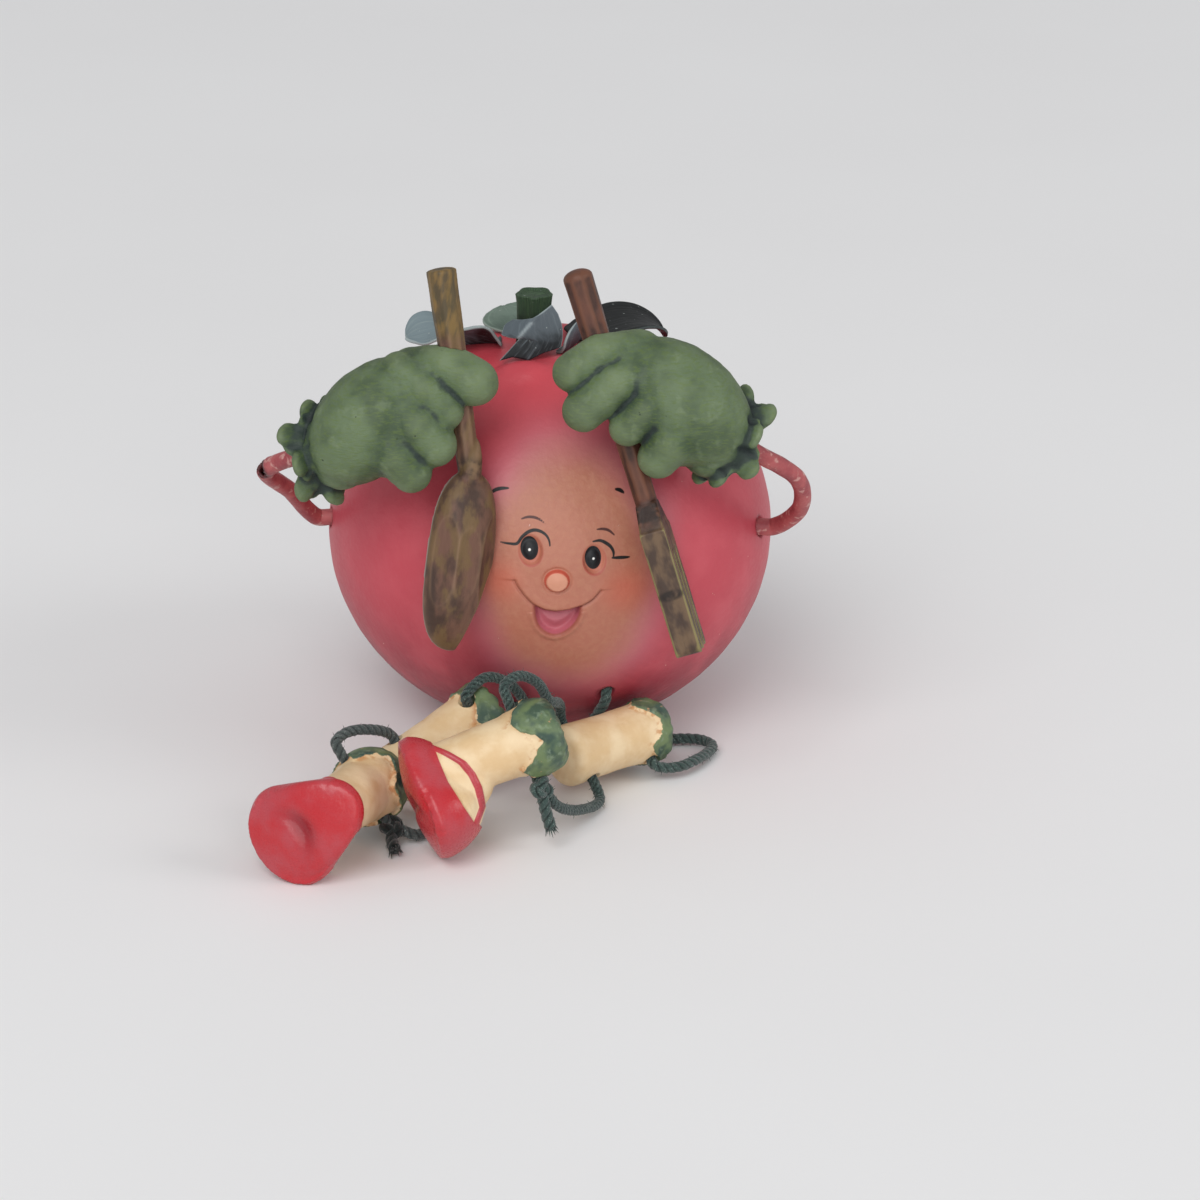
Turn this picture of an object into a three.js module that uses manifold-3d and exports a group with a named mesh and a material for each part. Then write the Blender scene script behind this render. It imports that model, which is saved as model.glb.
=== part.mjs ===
// A shelf sitter figure: a tomato with a face, gloved wire arms, a spoon, a fork and two corded legs.
// Millimetres, +Z up. The face looks along -Y, and left and right are the viewer's.
// The origin is the middle of the flat underside that the body sits on.
import * as THREE from 'three';
import { ConvexGeometry } from 'three/addons/geometries/ConvexGeometry.js';
import { mergeVertices } from 'three/addons/utils/BufferGeometryUtils.js';
import Module from 'manifold-3d';

const wasm = await Module();
wasm.setup();

const CLEARANCE = 0.3;
const MERGE_DISTANCE = 1e-4;

// Tomato body: an egg of revolution, cut flat underneath and dipped at the crown
const BODY_WIDTH = 54.5;
const BODY_HEIGHT = 48;
const BASE_WIDTH = 18;
const CROWN_DIP = 1.8;
const CROWN_DIP_WIDTH = 17;

// Crown: five thin sepals round a squarish stem. Each starts at its root's distance from the stem, level
// with the crown at its rest's distance, climbs to its slope and then curls; its edges rise by its cup,
// one of them by its fold as well, and its tip leans across. Its base is where its leaf outline starts.
const CROWN_OFFSET = -1.8;
const SEPAL_THICKNESS = 0.8;
const SEPAL_TIP = 0.06;
const SEPAL_CLIMB = 0.4;
const SEPAL_CURL_POWER = 2.2;
const STEM_WIDTH = 4.9;
const STEM_TOP_WIDTH = 4.6;
const STEM_HEIGHT = 7.1;
const STEM_SIDES = 5;
const SEPALS = [
  { side: 'front', azimuth: -86, root: 5, rest: 8, length: 7.4, width: 9.4, base: 0.36,
    slope: 86, curl: 16, cup: 1.4, fold: 0, lean: 1.8 },
  { side: 'front_right', azimuth: -26, root: 3.6, rest: 3, length: 5.4, width: 4.4, base: 0.2,
    slope: 66, curl: 12, cup: 0.7, fold: 0, lean: 0 },
  { side: 'right', azimuth: 22, root: 4.6, rest: 8, length: 12.6, width: 9.4, base: 0.07,
    slope: 10, curl: -32, cup: 0.7, fold: 1.4, lean: 0 },
  { side: 'back', azimuth: 114, root: 3.4, rest: 8, length: 9.6, width: 8, base: 0.12,
    slope: 1, curl: 5, cup: 0.8, fold: 0, lean: 0 },
  { side: 'left', azimuth: 182, root: 3.4, rest: 8, length: 12.4, width: 7.4, base: 0.07,
    slope: 3, curl: -10, cup: 0.6, fold: -1.5, lean: 0 },
];

// Arms: a bendable wire in a plastic sleeve, from a hole in the body to the glove's wrist
const SLEEVE_DIAMETER = 2.1;
const WIRE_DIAMETER = 0.7;
const ARM_HOLE_DEPTH = 5.5;
const ARM_STRAIGHT = 1.6;
const WRIST_HOLE_DEPTH = 4;
const WRIST_STRAIGHT = 4.4;

// Gloves: palm and fingers are laid out in the plane that faces the viewer
const HAND_LEAN = 22;
const HAND_SETBACK = 4.75;
const PALM_SPAN = 15.6;
const PALM_THICKNESS = 9.6;
const FINGER_DIAMETER = 5.7;
const FINGER_FORWARD = 2.4;
const INDEX_FORWARD = 3.4;
const THUMB_BACK = 3.4;
const RUFFLE_DIAMETER = 13.6;
const RUFFLE_SCALLOP = 2;
const RUFFLE_THICKNESS = 3.2;
const RUFFLE_BEVEL = 0.9;
const RUFFLE_LOBES = 8;

// Spoon and fork, carved from one stick each and placed by the neck, from the middle of the palm
const HANDLE_WIDTH = 3.7;
const HANDLE_NECK_WIDTH = 2.7;
const HANDLE_FLATS = 8;
const SPOON_HANDLE_LENGTH = 24.6;
const SPOON_NECK_INWARD = 9.95;
const SPOON_NECK_FORWARD = 2.3;
const SPOON_NECK_DROP = 6.2;
const SPOON_LEAN_INWARD = 7.8;
const SPOON_LEAN_BACK = 15.3;
const SPOON_BEND = 16;
const SPOON_TURN = 22;
const BOWL_LENGTH = 20.6;
const BOWL_WIDTH = 8.2;
const BOWL_DEPTH = 3.6;
const BOWL_WALL = 1;
const BOWL_SHOULDER = 5;
const FORK_HANDLE_LENGTH = 30.6;
const FORK_NECK_INWARD = 1.2;
const FORK_NECK_FORWARD = 4.1;
const FORK_NECK_DROP = 13.1;
const FORK_LEAN_INWARD = 17.4;
const FORK_LEAN_BACK = 14.2;
const FORK_TURN = 78;
const FORK_THICKNESS = 3.1;
const TINE_LENGTH = 12.5;
const TINE_WIDTH = 1.6;
const TINE_GAP = 1;
const TINE_COUNT = 3;
const FORK_SHOULDER = 4;

// Legs: cast in two lengths, hung on cord through a cross hole near each end
const THIGH_LENGTH = 15.2;
const THIGH_DIAMETER = 7.5;
const THIGH_WAIST_DIAMETER = 7;
const END_ROUND = 0.8;
const SHIN_LENGTH = 18;
const CALF_DIAMETER = 7.4;
const CUFF_DIAMETER = 8.8;
const CUFF_LENGTH = 6;
const ANKLE_DIAMETER = 6.8;
const HOLE_INSET = 2.8;
const CUFF_HOLE_INSET = 4.2;

// Shoe: a toe and a heel drawn into one hull, with a raised instep and a hollow in the sole
const SHOE_LENGTH = 12.8;
const SHOE_WIDTH = 11.8;
const SHOE_HEIGHT = 6;
const TOE_LENGTH = 9.7;
const HEEL_LENGTH = 8.4;
const HEEL_WIDTH = 7.6;
const HEEL_HEIGHT = 4.4;
const HEEL_OVERHANG = 3.3;
const INSTEP_LENGTH = 8;
const INSTEP_WIDTH = 6.9;
const INSTEP_HEIGHT = 9.3;
const INSTEP_FORWARD = 2;
const SOLE_THICKNESS = 1;
const ARCH_DEPTH = 0.5;
const ARCH_RADIUS = 6;
const ARCH_FORWARD = 2.4;

// Cord: braided string, the same for hips and knees
const CORD_DIAMETER = 1.3;
const CORD_STEP = 1.6;
const CORD_HOLE_DEPTH = 5;
const CORD_HOLE_DIAMETER = 2.1;
const CORD_SINK = 4;
const KNOT_DIAMETER = 2.5;
const HELD_SHARES = [0, 0.14, 0.5, 0.86, 1];

// Facets round each kind of piece, and along the curved ones
const BODY_SIDES = 40;
const BODY_RINGS = 18;
const LIMB_SIDES = 22;
const LIMB_RINGS = 6;
const EGG_SIDES = 16;
const FINGER_SIDES = 8;
const FINGER_RINGS = 3;
const LOBE_POINTS = 6;
const TINE_POINTS = 4;
const HOLE_SIDES = 12;
const TUBE_SIDES = 8;
const WIRE_SIDES = 6;
const KNOT_SIDES = 10;
const SEPAL_STEPS = 48;
const SEPAL_CELLS = 10;
const SEPAL_CELLS_ACROSS = 4;
const CROWN_STEPS = 40;

const RAD = Math.PI / 180;
const bodyRadius = BODY_WIDTH / 2;
const flatShare = Math.sqrt(1 - (BASE_WIDTH / BODY_WIDTH) ** 2);
const bodyHalfHeight = BODY_HEIGHT / (1 + flatShare);
const bodyMiddle = bodyHalfHeight * flatShare;

const vec = (x, y, z) => new THREE.Vector3(x, y, z);
const right = vec(1, 0, 0);
const up = vec(0, 0, 1);
const viewer = vec(0, -Math.cos(HAND_LEAN * RAD), Math.sin(HAND_LEAN * RAD));

// Points of a hand, in hundredths of the palm's span from its middle
function span(x, y, z = 0) {
  return vec(x, y, z).multiplyScalar(PALM_SPAN / 100);
}

// Each arm: where it enters the body, its bends from there, and its palm's place beside and above the middle
const HANDS = {
  left: {
    sign: -1,
    root: { forward: 4, rise: 2.6 },
    elbow: [vec(-4.6, -4.6, 5.2), vec(-7, -11, 10.2)],
    out: 19.1,
    rise: 22.2,
    palm: { width: 15.8, height: 15.4, shift: span(-6, 1) },
    fingers: [
      { knuckle: span(3, 28), tip: span(69, 28), forward: INDEX_FORWARD },
      { knuckle: span(3, 10), tip: span(40, 4), forward: FINGER_FORWARD },
      { knuckle: span(1, -9), tip: span(38, -23), forward: FINGER_FORWARD },
      { knuckle: span(-4, -17), tip: span(19, -40), forward: FINGER_FORWARD },
      { knuckle: span(-21, -15, -6), tip: span(-31, -38, -6), forward: FINGER_FORWARD },
      { knuckle: span(14, 17), tip: span(60, 12), forward: -THUMB_BACK },
    ],
    wrist: span(-44, -25, -13),
    wristAxis: vec(-0.8, -0.1, -0.6).normalize(),
  },
  right: {
    sign: 1,
    root: { forward: 8.6, rise: 3.1 },
    elbow: [vec(4.6, -3.4, 3.6), vec(4.2, -7.6, 9)],
    out: 13.4,
    rise: 24.2,
    palm: { width: 17, height: 15.8, shift: span(8, 3) },
    fingers: [
      { knuckle: span(-8, 27), tip: span(-63, 22), forward: INDEX_FORWARD },
      { knuckle: span(-9, 9), tip: span(-56, -9), forward: FINGER_FORWARD },
      { knuckle: span(-4, -8), tip: span(-29, -22), forward: FINGER_FORWARD },
      { knuckle: span(4, -15), tip: span(-9, -40), forward: FINGER_FORWARD },
      { knuckle: span(23, -15, -6), tip: span(36, -39, -6), forward: FINGER_FORWARD },
      { knuckle: span(6, 17), tip: span(-41, 9), forward: -THUMB_BACK },
    ],
    wrist: span(52, -28, -13),
    wristAxis: vec(0.75, -0.38, -0.55).normalize(),
  },
};

// Each leg: the hip's place on the body, each limb's direction and rolls, and the hole that takes its cord
const LEGS = {
  left: {
    hip: { azimuth: -104, latitude: -25.5 },
    thigh: { heading: -145.8, pitch: -22.6, hipRoll: -15, kneeRoll: 20 },
    kneeGap: vec(-1.4, -2.2, 0.85),
    shin: { heading: -109.6, pitch: 8.8, toeRoll: 127, holeRoll: 40 },
    cordHole: { azimuth: -101, latitude: -38, drill: vec(0.05, -0.8, -0.6).normalize() },
  },
  right: {
    hip: { azimuth: -59, latitude: -38 },
    thigh: { heading: -138, pitch: 2, hipRoll: 45, kneeRoll: 45 },
    kneeGap: vec(-0.3, -9.8, 7.9),
    shin: { heading: -164.7, pitch: -15.1, toeRoll: -148, holeRoll: 28 },
    cordHole: { azimuth: -72.6, latitude: -32.5, drill: vec(0, -0.3, -0.95).normalize() },
  },
};

const figure = new THREE.Group();

const finishes = {
  tomato: { color: 0xc4525c, roughness: 0.45 },
  leaf: { color: 0x46605a, roughness: 0.6 },
  glove: { color: 0x5f7d52, roughness: 0.7 },
  spoonWood: { color: 0x6a5a40, roughness: 0.6 },
  forkWood: { color: 0x744630, roughness: 0.6 },
  sleeve: { color: 0xb24a50, roughness: 0.5 },
  wire: { color: 0x26262a, roughness: 0.4, metalness: 0.8 },
  leg: { color: 0xe2c69c, roughness: 0.55 },
  cord: { color: 0x3d5a55, roughness: 0.9 },
};

function addMesh(name, geometry, finish, matrix = new THREE.Matrix4()) {
  const mesh = new THREE.Mesh(geometry, new THREE.MeshStandardMaterial(finishes[finish]));
  mesh.name = name;
  mesh.applyMatrix4(matrix);
  figure.add(mesh);
}

// Solids: a closed geometry with its shared vertices merged, faces out
function solidOf(geometry, matrix = null) {
  const bare = geometry.index ? geometry.toNonIndexed() : geometry.clone();
  for (const key of Object.keys(bare.attributes)) {
    if (key !== 'position') {
      bare.deleteAttribute(key);
    }
  }
  if (matrix) {
    bare.applyMatrix4(matrix);
  }
  const merged = mergeVertices(bare, MERGE_DISTANCE);
  const corners = merged.index.array;
  const kept = [];
  for (let i = 0; i < corners.length; i += 3) {
    const [a, b, c] = corners.slice(i, i + 3);
    if (a !== b && b !== c && c !== a) {
      kept.push(a, b, c);
    }
  }
  const place = merged.attributes.position.array;
  const vertProperties = new Float32Array(place);
  const triVerts = new Uint32Array(signedVolume(place, kept) < 0 ? kept.reverse() : kept);
  return new wasm.Manifold(new wasm.Mesh({ numProp: 3, vertProperties, triVerts }));
}

function signedVolume(place, corners) {
  const at = (i) => vec(place[3 * i], place[3 * i + 1], place[3 * i + 2]);
  let volume = 0;
  for (let i = 0; i < corners.length; i += 3) {
    volume += at(corners[i]).dot(at(corners[i + 1]).cross(at(corners[i + 2]))) / 6;
  }
  return volume;
}

function geometryOf(solid) {
  const mesh = solid.getMesh();
  const geometry = new THREE.BufferGeometry();
  geometry.setAttribute('position', new THREE.BufferAttribute(new Float32Array(mesh.vertProperties), 3));
  geometry.setIndex(new THREE.BufferAttribute(new Uint32Array(mesh.triVerts), 1));
  return geometry;
}

// Placing: a frame from its origin and two of its axes
function frameOf(origin, alongY, towardsZ) {
  const y = alongY.clone().normalize();
  const x = y.clone().cross(towardsZ).normalize();
  const z = x.clone().cross(y);
  return new THREE.Matrix4().makeBasis(x, y, z).setPosition(origin);
}

function shifted(x, y, z) {
  return new THREE.Matrix4().setPosition(x, y, z);
}

// A frame halfway between two points, its +Y from the first to the second
function frameBetween(from, to) {
  const along = to.clone().sub(from);
  const side = Math.abs(along.z) > Math.abs(along.x) ? right : up;
  return frameOf(from.clone().lerp(to, 0.5), along, side);
}

function rod(from, to, radius) {
  const shape = new THREE.CylinderGeometry(radius, radius, from.distanceTo(to), HOLE_SIDES);
  return solidOf(shape, frameBetween(from, to));
}

function finger(from, to) {
  const length = from.distanceTo(to);
  const shape = new THREE.CapsuleGeometry(FINGER_DIAMETER / 2, length, FINGER_RINGS, FINGER_SIDES);
  return solidOf(shape, frameBetween(from, to));
}

function eggShape(width, height, depth, sides = EGG_SIDES) {
  return new THREE.SphereGeometry(0.5, sides, Math.round((2 * sides) / 3)).scale(width, height, depth);
}

// Places on the body
function crownHeight(radius) {
  const half = CROWN_DIP_WIDTH / 2;
  const dip = radius < half ? (CROWN_DIP * (1 + Math.cos((Math.PI * radius) / half))) / 2 : 0;
  return bodyMiddle + bodyHalfHeight * Math.sqrt(Math.max(0, 1 - (radius / bodyRadius) ** 2)) - dip;
}

function bodyNormal(azimuth, latitude) {
  const flat = Math.cos(latitude * RAD) / bodyRadius;
  const rise = Math.sin(latitude * RAD) / bodyHalfHeight;
  return vec(flat * Math.cos(azimuth * RAD), flat * Math.sin(azimuth * RAD), rise).normalize();
}

function bodyPoint(azimuth, latitude, standOff = 0) {
  const flat = bodyRadius * Math.cos(latitude * RAD);
  const rise = bodyMiddle + bodyHalfHeight * Math.sin(latitude * RAD);
  const point = vec(flat * Math.cos(azimuth * RAD), flat * Math.sin(azimuth * RAD), rise);
  return point.addScaledVector(bodyNormal(azimuth, latitude), standOff);
}

function bodySide(forward, rise) {
  return bodyRadius * Math.sqrt(1 - (forward / bodyRadius) ** 2 - (rise / bodyHalfHeight) ** 2);
}

// Tubes: a round section swept along a smooth route
function sweep(route, radius, sides, step, bore = 0) {
  const path = new THREE.CatmullRomCurve3(route, false, 'centripetal');
  const section = new THREE.Shape().absarc(0, 0, radius, 0, 2 * Math.PI);
  if (bore > 0) {
    section.holes.push(new THREE.Path().absarc(0, 0, bore, 0, 2 * Math.PI));
  }
  const steps = Math.round(path.getLength() / step);
  return new THREE.ExtrudeGeometry(section, { steps, curveSegments: sides / 2, extrudePath: path });
}

// Arms: where each one enters the body, and the frame of its palm
const handForward = bodyRadius - HAND_SETBACK;
for (const arm of Object.values(HANDS)) {
  const { forward, rise } = arm.root;
  arm.rootPoint = vec(arm.sign * bodySide(forward, rise), -forward, bodyMiddle + rise);
  arm.palmPoint = vec(arm.sign * arm.out, -handForward, bodyMiddle + arm.rise);
  arm.frame = frameOf(arm.palmPoint, up.clone().cross(viewer).cross(viewer).negate(), viewer);
}

// A carved handle from the origin up +Y: flat-sided, thicker at its top
function handleSolid(length, grow, bend = 0) {
  const top = HANDLE_WIDTH / 2 + grow;
  const low = HANDLE_NECK_WIDTH / 2 + grow;
  const shape = new THREE.CylinderGeometry(top, low, length, HANDLE_FLATS);
  shape.rotateY(Math.PI / HANDLE_FLATS).translate(0, length / 2, 0).rotateZ(bend * RAD);
  return solidOf(shape);
}

// Spoon: half an egg, hollowed, with shoulders that run up into the handle
function spoonSolid() {
  const walls = 2 * BOWL_WALL;
  const shell = eggShape(BOWL_WIDTH, BOWL_LENGTH + BOWL_WALL, 2 * BOWL_DEPTH);
  const hollow = eggShape(BOWL_WIDTH - walls, BOWL_LENGTH - walls, 2 * BOWL_DEPTH - walls);
  const half = new THREE.BoxGeometry(2 * BOWL_WIDTH, 2 * BOWL_LENGTH, 2 * BOWL_DEPTH);
  const middle = shifted(0, -BOWL_LENGTH / 2, 0);
  const behind = solidOf(half, shifted(0, -BOWL_LENGTH / 2, -BOWL_DEPTH));
  const shoulder = solidOf(eggShape(HANDLE_NECK_WIDTH, 2 * BOWL_SHOULDER, HANDLE_NECK_WIDTH));
  const bowl = solidOf(shell, middle).subtract(behind).add(shoulder).subtract(solidOf(hollow, middle));
  return bowl.add(handleSolid(SPOON_HANDLE_LENGTH, 0, SPOON_BEND));
}

// Fork: a slab with slots between its tines, rounded at the tips
function forkSolid() {
  const pitch = TINE_WIDTH + TINE_GAP;
  const round = TINE_WIDTH / 2;
  const half = (TINE_COUNT * pitch - TINE_GAP) / 2;
  const neck = HANDLE_NECK_WIDTH / 2;
  const end = -FORK_SHOULDER - TINE_LENGTH;
  const outline = new THREE.Shape();
  outline.moveTo(-neck, neck);
  outline.quadraticCurveTo(-neck, -FORK_SHOULDER / 2, -half, -FORK_SHOULDER / 2);
  for (let i = 0; i < TINE_COUNT; i += 1) {
    const from = -half + i * pitch;
    outline.lineTo(from, end + round);
    outline.absarc(from + round, end + round, round, Math.PI, 2 * Math.PI);
    if (i < TINE_COUNT - 1) {
      outline.lineTo(from + TINE_WIDTH, -FORK_SHOULDER);
      outline.lineTo(from + pitch, -FORK_SHOULDER);
    }
  }
  outline.lineTo(half, -FORK_SHOULDER / 2);
  outline.quadraticCurveTo(neck, -FORK_SHOULDER / 2, neck, neck);
  const settings = { depth: FORK_THICKNESS, bevelEnabled: false, curveSegments: TINE_POINTS };
  const slab = new THREE.ExtrudeGeometry(outline, settings).translate(0, 0, -FORK_THICKNESS / 2);
  return solidOf(slab).add(handleSolid(FORK_HANDLE_LENGTH, 0));
}

const UTENSILS = {
  left: {
    name: 'spoon',
    finish: 'spoonWood',
    solid: spoonSolid,
    grip: (grow) => handleSolid(SPOON_HANDLE_LENGTH, grow, SPOON_BEND),
    neck: vec(SPOON_NECK_INWARD, -SPOON_NECK_FORWARD, -SPOON_NECK_DROP),
    lean: { inward: SPOON_LEAN_INWARD, back: SPOON_LEAN_BACK },
    turn: SPOON_TURN,
  },
  right: {
    name: 'fork',
    finish: 'forkWood',
    solid: forkSolid,
    grip: (grow) => handleSolid(FORK_HANDLE_LENGTH, grow),
    neck: vec(-FORK_NECK_INWARD, -FORK_NECK_FORWARD, -FORK_NECK_DROP),
    lean: { inward: FORK_LEAN_INWARD, back: FORK_LEAN_BACK },
    turn: FORK_TURN,
  },
};

// Where a utensil lies: its own +Y runs up the stick and its +Z faces the viewer before its turn
function utensilFrame(arm, { neck, lean, turn }) {
  const along = vec(-arm.sign * Math.tan(lean.inward * RAD), Math.tan(lean.back * RAD), 1);
  return frameOf(arm.palmPoint.clone().add(neck), along, viewer.clone().applyAxisAngle(up, turn * RAD));
}

// A leafy ruffle: a thick plate with a scalloped edge, its axis along +Y
function ruffleGeometry() {
  const count = RUFFLE_LOBES * LOBE_POINTS;
  const rim = RUFFLE_DIAMETER / 2 - RUFFLE_BEVEL;
  const edge = [];
  for (let i = 0; i < count; i += 1) {
    const turn = (2 * Math.PI * i) / count;
    const radius = rim - RUFFLE_SCALLOP * (1 - Math.abs(Math.sin((RUFFLE_LOBES * turn) / 2)));
    edge.push(new THREE.Vector2(radius * Math.cos(turn), radius * Math.sin(turn)));
  }
  const plate = new THREE.ExtrudeGeometry(new THREE.Shape(edge), {
    depth: RUFFLE_THICKNESS - 2 * RUFFLE_BEVEL,
    bevelThickness: RUFFLE_BEVEL,
    bevelSize: RUFFLE_BEVEL,
    bevelSegments: 1,
  });
  return plate.translate(0, 0, RUFFLE_BEVEL - RUFFLE_THICKNESS / 2).rotateX(Math.PI / 2);
}

// A glove: palm, fingers in front of the stick, thumb behind it and the ruffle at the wrist
function gloveSolid({ palm, fingers, wrist, wristAxis }, grip) {
  const { width, height, shift } = palm;
  let glove = solidOf(eggShape(width, height, PALM_THICKNESS), shifted(shift.x, shift.y, shift.z));
  for (const { knuckle, tip, forward } of fingers) {
    glove = glove.add(finger(knuckle, tip.clone().setZ(tip.z + forward)));
  }
  glove = glove.add(solidOf(ruffleGeometry(), frameOf(wrist, wristAxis, vec(0, 0, 1))));
  const deep = wrist.clone().addScaledVector(wristAxis, -WRIST_HOLE_DEPTH - CLEARANCE);
  const outside = wrist.clone().addScaledVector(wristAxis, RUFFLE_DIAMETER);
  return glove.subtract(rod(deep, outside, SLEEVE_DIAMETER / 2 + CLEARANCE)).subtract(grip);
}

for (const [side, arm] of Object.entries(HANDS)) {
  const utensil = UTENSILS[side];
  const stick = utensilFrame(arm, utensil);
  const inHand = arm.frame.clone().invert().multiply(stick);
  const grip = utensil.grip(CLEARANCE).transform(inHand.toArray());
  addMesh(`glove_${side}`, geometryOf(gloveSolid(arm, grip)), 'glove', arm.frame);
  addMesh(utensil.name, geometryOf(utensil.solid()), utensil.finish, stick);
  const rootPoint = (along) => arm.rootPoint.clone().addScaledVector(right, arm.sign * along);
  const wristPoint = (along) => {
    return arm.wrist.clone().addScaledVector(arm.wristAxis, along).applyMatrix4(arm.frame);
  };
  const route = [
    rootPoint(-ARM_HOLE_DEPTH + CLEARANCE),
    rootPoint(-ARM_HOLE_DEPTH / 2),
    rootPoint(0),
    rootPoint(ARM_STRAIGHT),
    ...arm.elbow.map((offset) => arm.rootPoint.clone().add(offset)),
    wristPoint(WRIST_STRAIGHT),
    wristPoint(WRIST_STRAIGHT / 2),
    wristPoint(0),
    wristPoint(-WRIST_HOLE_DEPTH),
  ];
  const inside = WIRE_DIAMETER / 2 + CLEARANCE;
  const sleeve = sweep(route, SLEEVE_DIAMETER / 2, TUBE_SIDES, SLEEVE_DIAMETER, inside);
  addMesh(`arm_sleeve_${side}`, sleeve, 'sleeve');
  addMesh(`arm_wire_${side}`, sweep(route, WIRE_DIAMETER / 2, WIRE_SIDES, SLEEVE_DIAMETER), 'wire');
}

// Legs: each limb runs along its own +X from its top, and its holes are turned about that axis
function limbFrame(top, heading, pitch) {
  const turn = new THREE.Euler(0, -pitch * RAD, heading * RAD, 'ZYX');
  return new THREE.Matrix4().makeRotationFromEuler(turn).setPosition(top);
}

function limbHole(inset, roll, reach) {
  const spin = vec(0, -Math.sin(roll * RAD), Math.cos(roll * RAD));
  const low = vec(inset, 0, 0).addScaledVector(spin, -reach);
  const high = vec(inset, 0, 0).addScaledVector(spin, reach);
  return { low, high, cut: rod(low, high, CORD_HOLE_DIAMETER / 2) };
}

// A turned limb: radius against distance from its top
function turned(profile) {
  const points = profile.map(([along, radius]) => new THREE.Vector2(radius, along));
  return solidOf(new THREE.LatheGeometry(points, LIMB_SIDES).rotateZ(-Math.PI / 2));
}

const thighRadius = THIGH_DIAMETER / 2;
const cuffRadius = CUFF_DIAMETER / 2;

// Upper leg: rounded at both ends and drawn in a little between them
function thighSolid(hipRoll, kneeRoll) {
  const draw = (THIGH_DIAMETER - THIGH_WAIST_DIAMETER) / 2;
  const profile = [[0, 0], [0, thighRadius - END_ROUND]];
  for (let i = 0; i <= LIMB_RINGS; i += 1) {
    const along = END_ROUND + ((THIGH_LENGTH - 2 * END_ROUND) * i) / LIMB_RINGS;
    profile.push([along, thighRadius - draw * Math.sin((Math.PI * i) / LIMB_RINGS)]);
  }
  profile.push([THIGH_LENGTH, thighRadius - END_ROUND], [THIGH_LENGTH, 0]);
  const hip = limbHole(HOLE_INSET, hipRoll, THIGH_DIAMETER);
  const knee = limbHole(THIGH_LENGTH - HOLE_INSET, kneeRoll, THIGH_DIAMETER);
  return turned(profile).subtract(hip.cut).subtract(knee.cut);
}

// Lower leg: a swollen cuff, then a straight calf that ends inside the shoe
function calfSolid() {
  const calf = CALF_DIAMETER / 2;
  const profile = [[0, 0], [0, calf - END_ROUND]];
  for (let i = 1; i <= LIMB_RINGS; i += 1) {
    const swell = (cuffRadius - calf) * Math.sin((Math.PI * i) / LIMB_RINGS);
    profile.push([(CUFF_LENGTH * i) / LIMB_RINGS, calf + swell]);
  }
  const ankle = SHIN_LENGTH - SOLE_THICKNESS;
  profile.push([SHIN_LENGTH - SHOE_HEIGHT, ANKLE_DIAMETER / 2], [ankle, ANKLE_DIAMETER / 2], [ankle, 0]);
  return turned(profile);
}

// Shoe: its sole is square to the limb, and its toe points along the limb's +Z
function shoeSolid() {
  const toeMiddle = SHOE_LENGTH - HEEL_OVERHANG - TOE_LENGTH / 2;
  const heelMiddle = HEEL_LENGTH / 2 - HEEL_OVERHANG;
  const toe = eggShape(2 * SHOE_HEIGHT, SHOE_WIDTH, TOE_LENGTH).translate(SHIN_LENGTH, 0, toeMiddle);
  const heel = eggShape(2 * HEEL_HEIGHT, HEEL_WIDTH, HEEL_LENGTH).translate(SHIN_LENGTH, 0, heelMiddle);
  const hull = [];
  for (const { attributes } of [toe, heel]) {
    for (let i = 0; i < attributes.position.count; i += 1) {
      hull.push(new THREE.Vector3().fromBufferAttribute(attributes.position, i));
    }
  }
  const instep = eggShape(INSTEP_HEIGHT, INSTEP_WIDTH, INSTEP_LENGTH);
  const above = SHIN_LENGTH - INSTEP_HEIGHT / 2;
  const under = new THREE.BoxGeometry(2 * SHOE_HEIGHT, 2 * SHOE_WIDTH, 2 * SHOE_LENGTH);
  const arch = eggShape(2 * ARCH_RADIUS, 2 * ARCH_RADIUS, 2 * ARCH_RADIUS);
  const below = SHIN_LENGTH + ARCH_RADIUS - ARCH_DEPTH;
  return solidOf(new ConvexGeometry(hull))
    .add(solidOf(instep, shifted(above, 0, INSTEP_FORWARD)))
    .subtract(solidOf(under, shifted(SHIN_LENGTH + SHOE_HEIGHT, 0, 0)))
    .subtract(solidOf(arch, shifted(below, 0, ARCH_FORWARD)));
}

function shinSolid(toeRoll, holeRoll) {
  const roll = new THREE.Matrix4().makeRotationX(toeRoll * RAD);
  const hole = limbHole(CUFF_HOLE_INSET, holeRoll, CUFF_DIAMETER);
  return calfSolid().add(shoeSolid().transform(roll.toArray())).subtract(hole.cut);
}

for (const [side, leg] of Object.entries(LEGS)) {
  const { thigh, shin } = leg;
  const hipEnd = bodyPoint(leg.hip.azimuth, leg.hip.latitude, thighRadius + 2 * CLEARANCE);
  leg.thighFrame = limbFrame(hipEnd, thigh.heading, thigh.pitch);
  const kneeEnd = vec(THIGH_LENGTH, 0, 0).applyMatrix4(leg.thighFrame);
  leg.shinFrame = limbFrame(kneeEnd.add(leg.kneeGap), shin.heading, shin.pitch);
  addMesh(`thigh_${side}`, geometryOf(thighSolid(thigh.hipRoll, thigh.kneeRoll)), 'leg', leg.thighFrame);
  addMesh(`shin_${side}`, geometryOf(shinSolid(shin.toeRoll, shin.holeRoll)), 'leg', leg.shinFrame);
}

// A point along a hole drilled into the body, counted from its mouth
function drilled({ azimuth, latitude, drill }, along) {
  return bodyPoint(azimuth, latitude).addScaledVector(drill, along);
}

// Cords: each is one length, laid through the holes and over the shelf between them
function holeMouths(frame, inset, roll, reach) {
  const { low, high } = limbHole(inset, roll, reach);
  return { low: low.applyMatrix4(frame), high: high.applyMatrix4(frame) };
}

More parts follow.
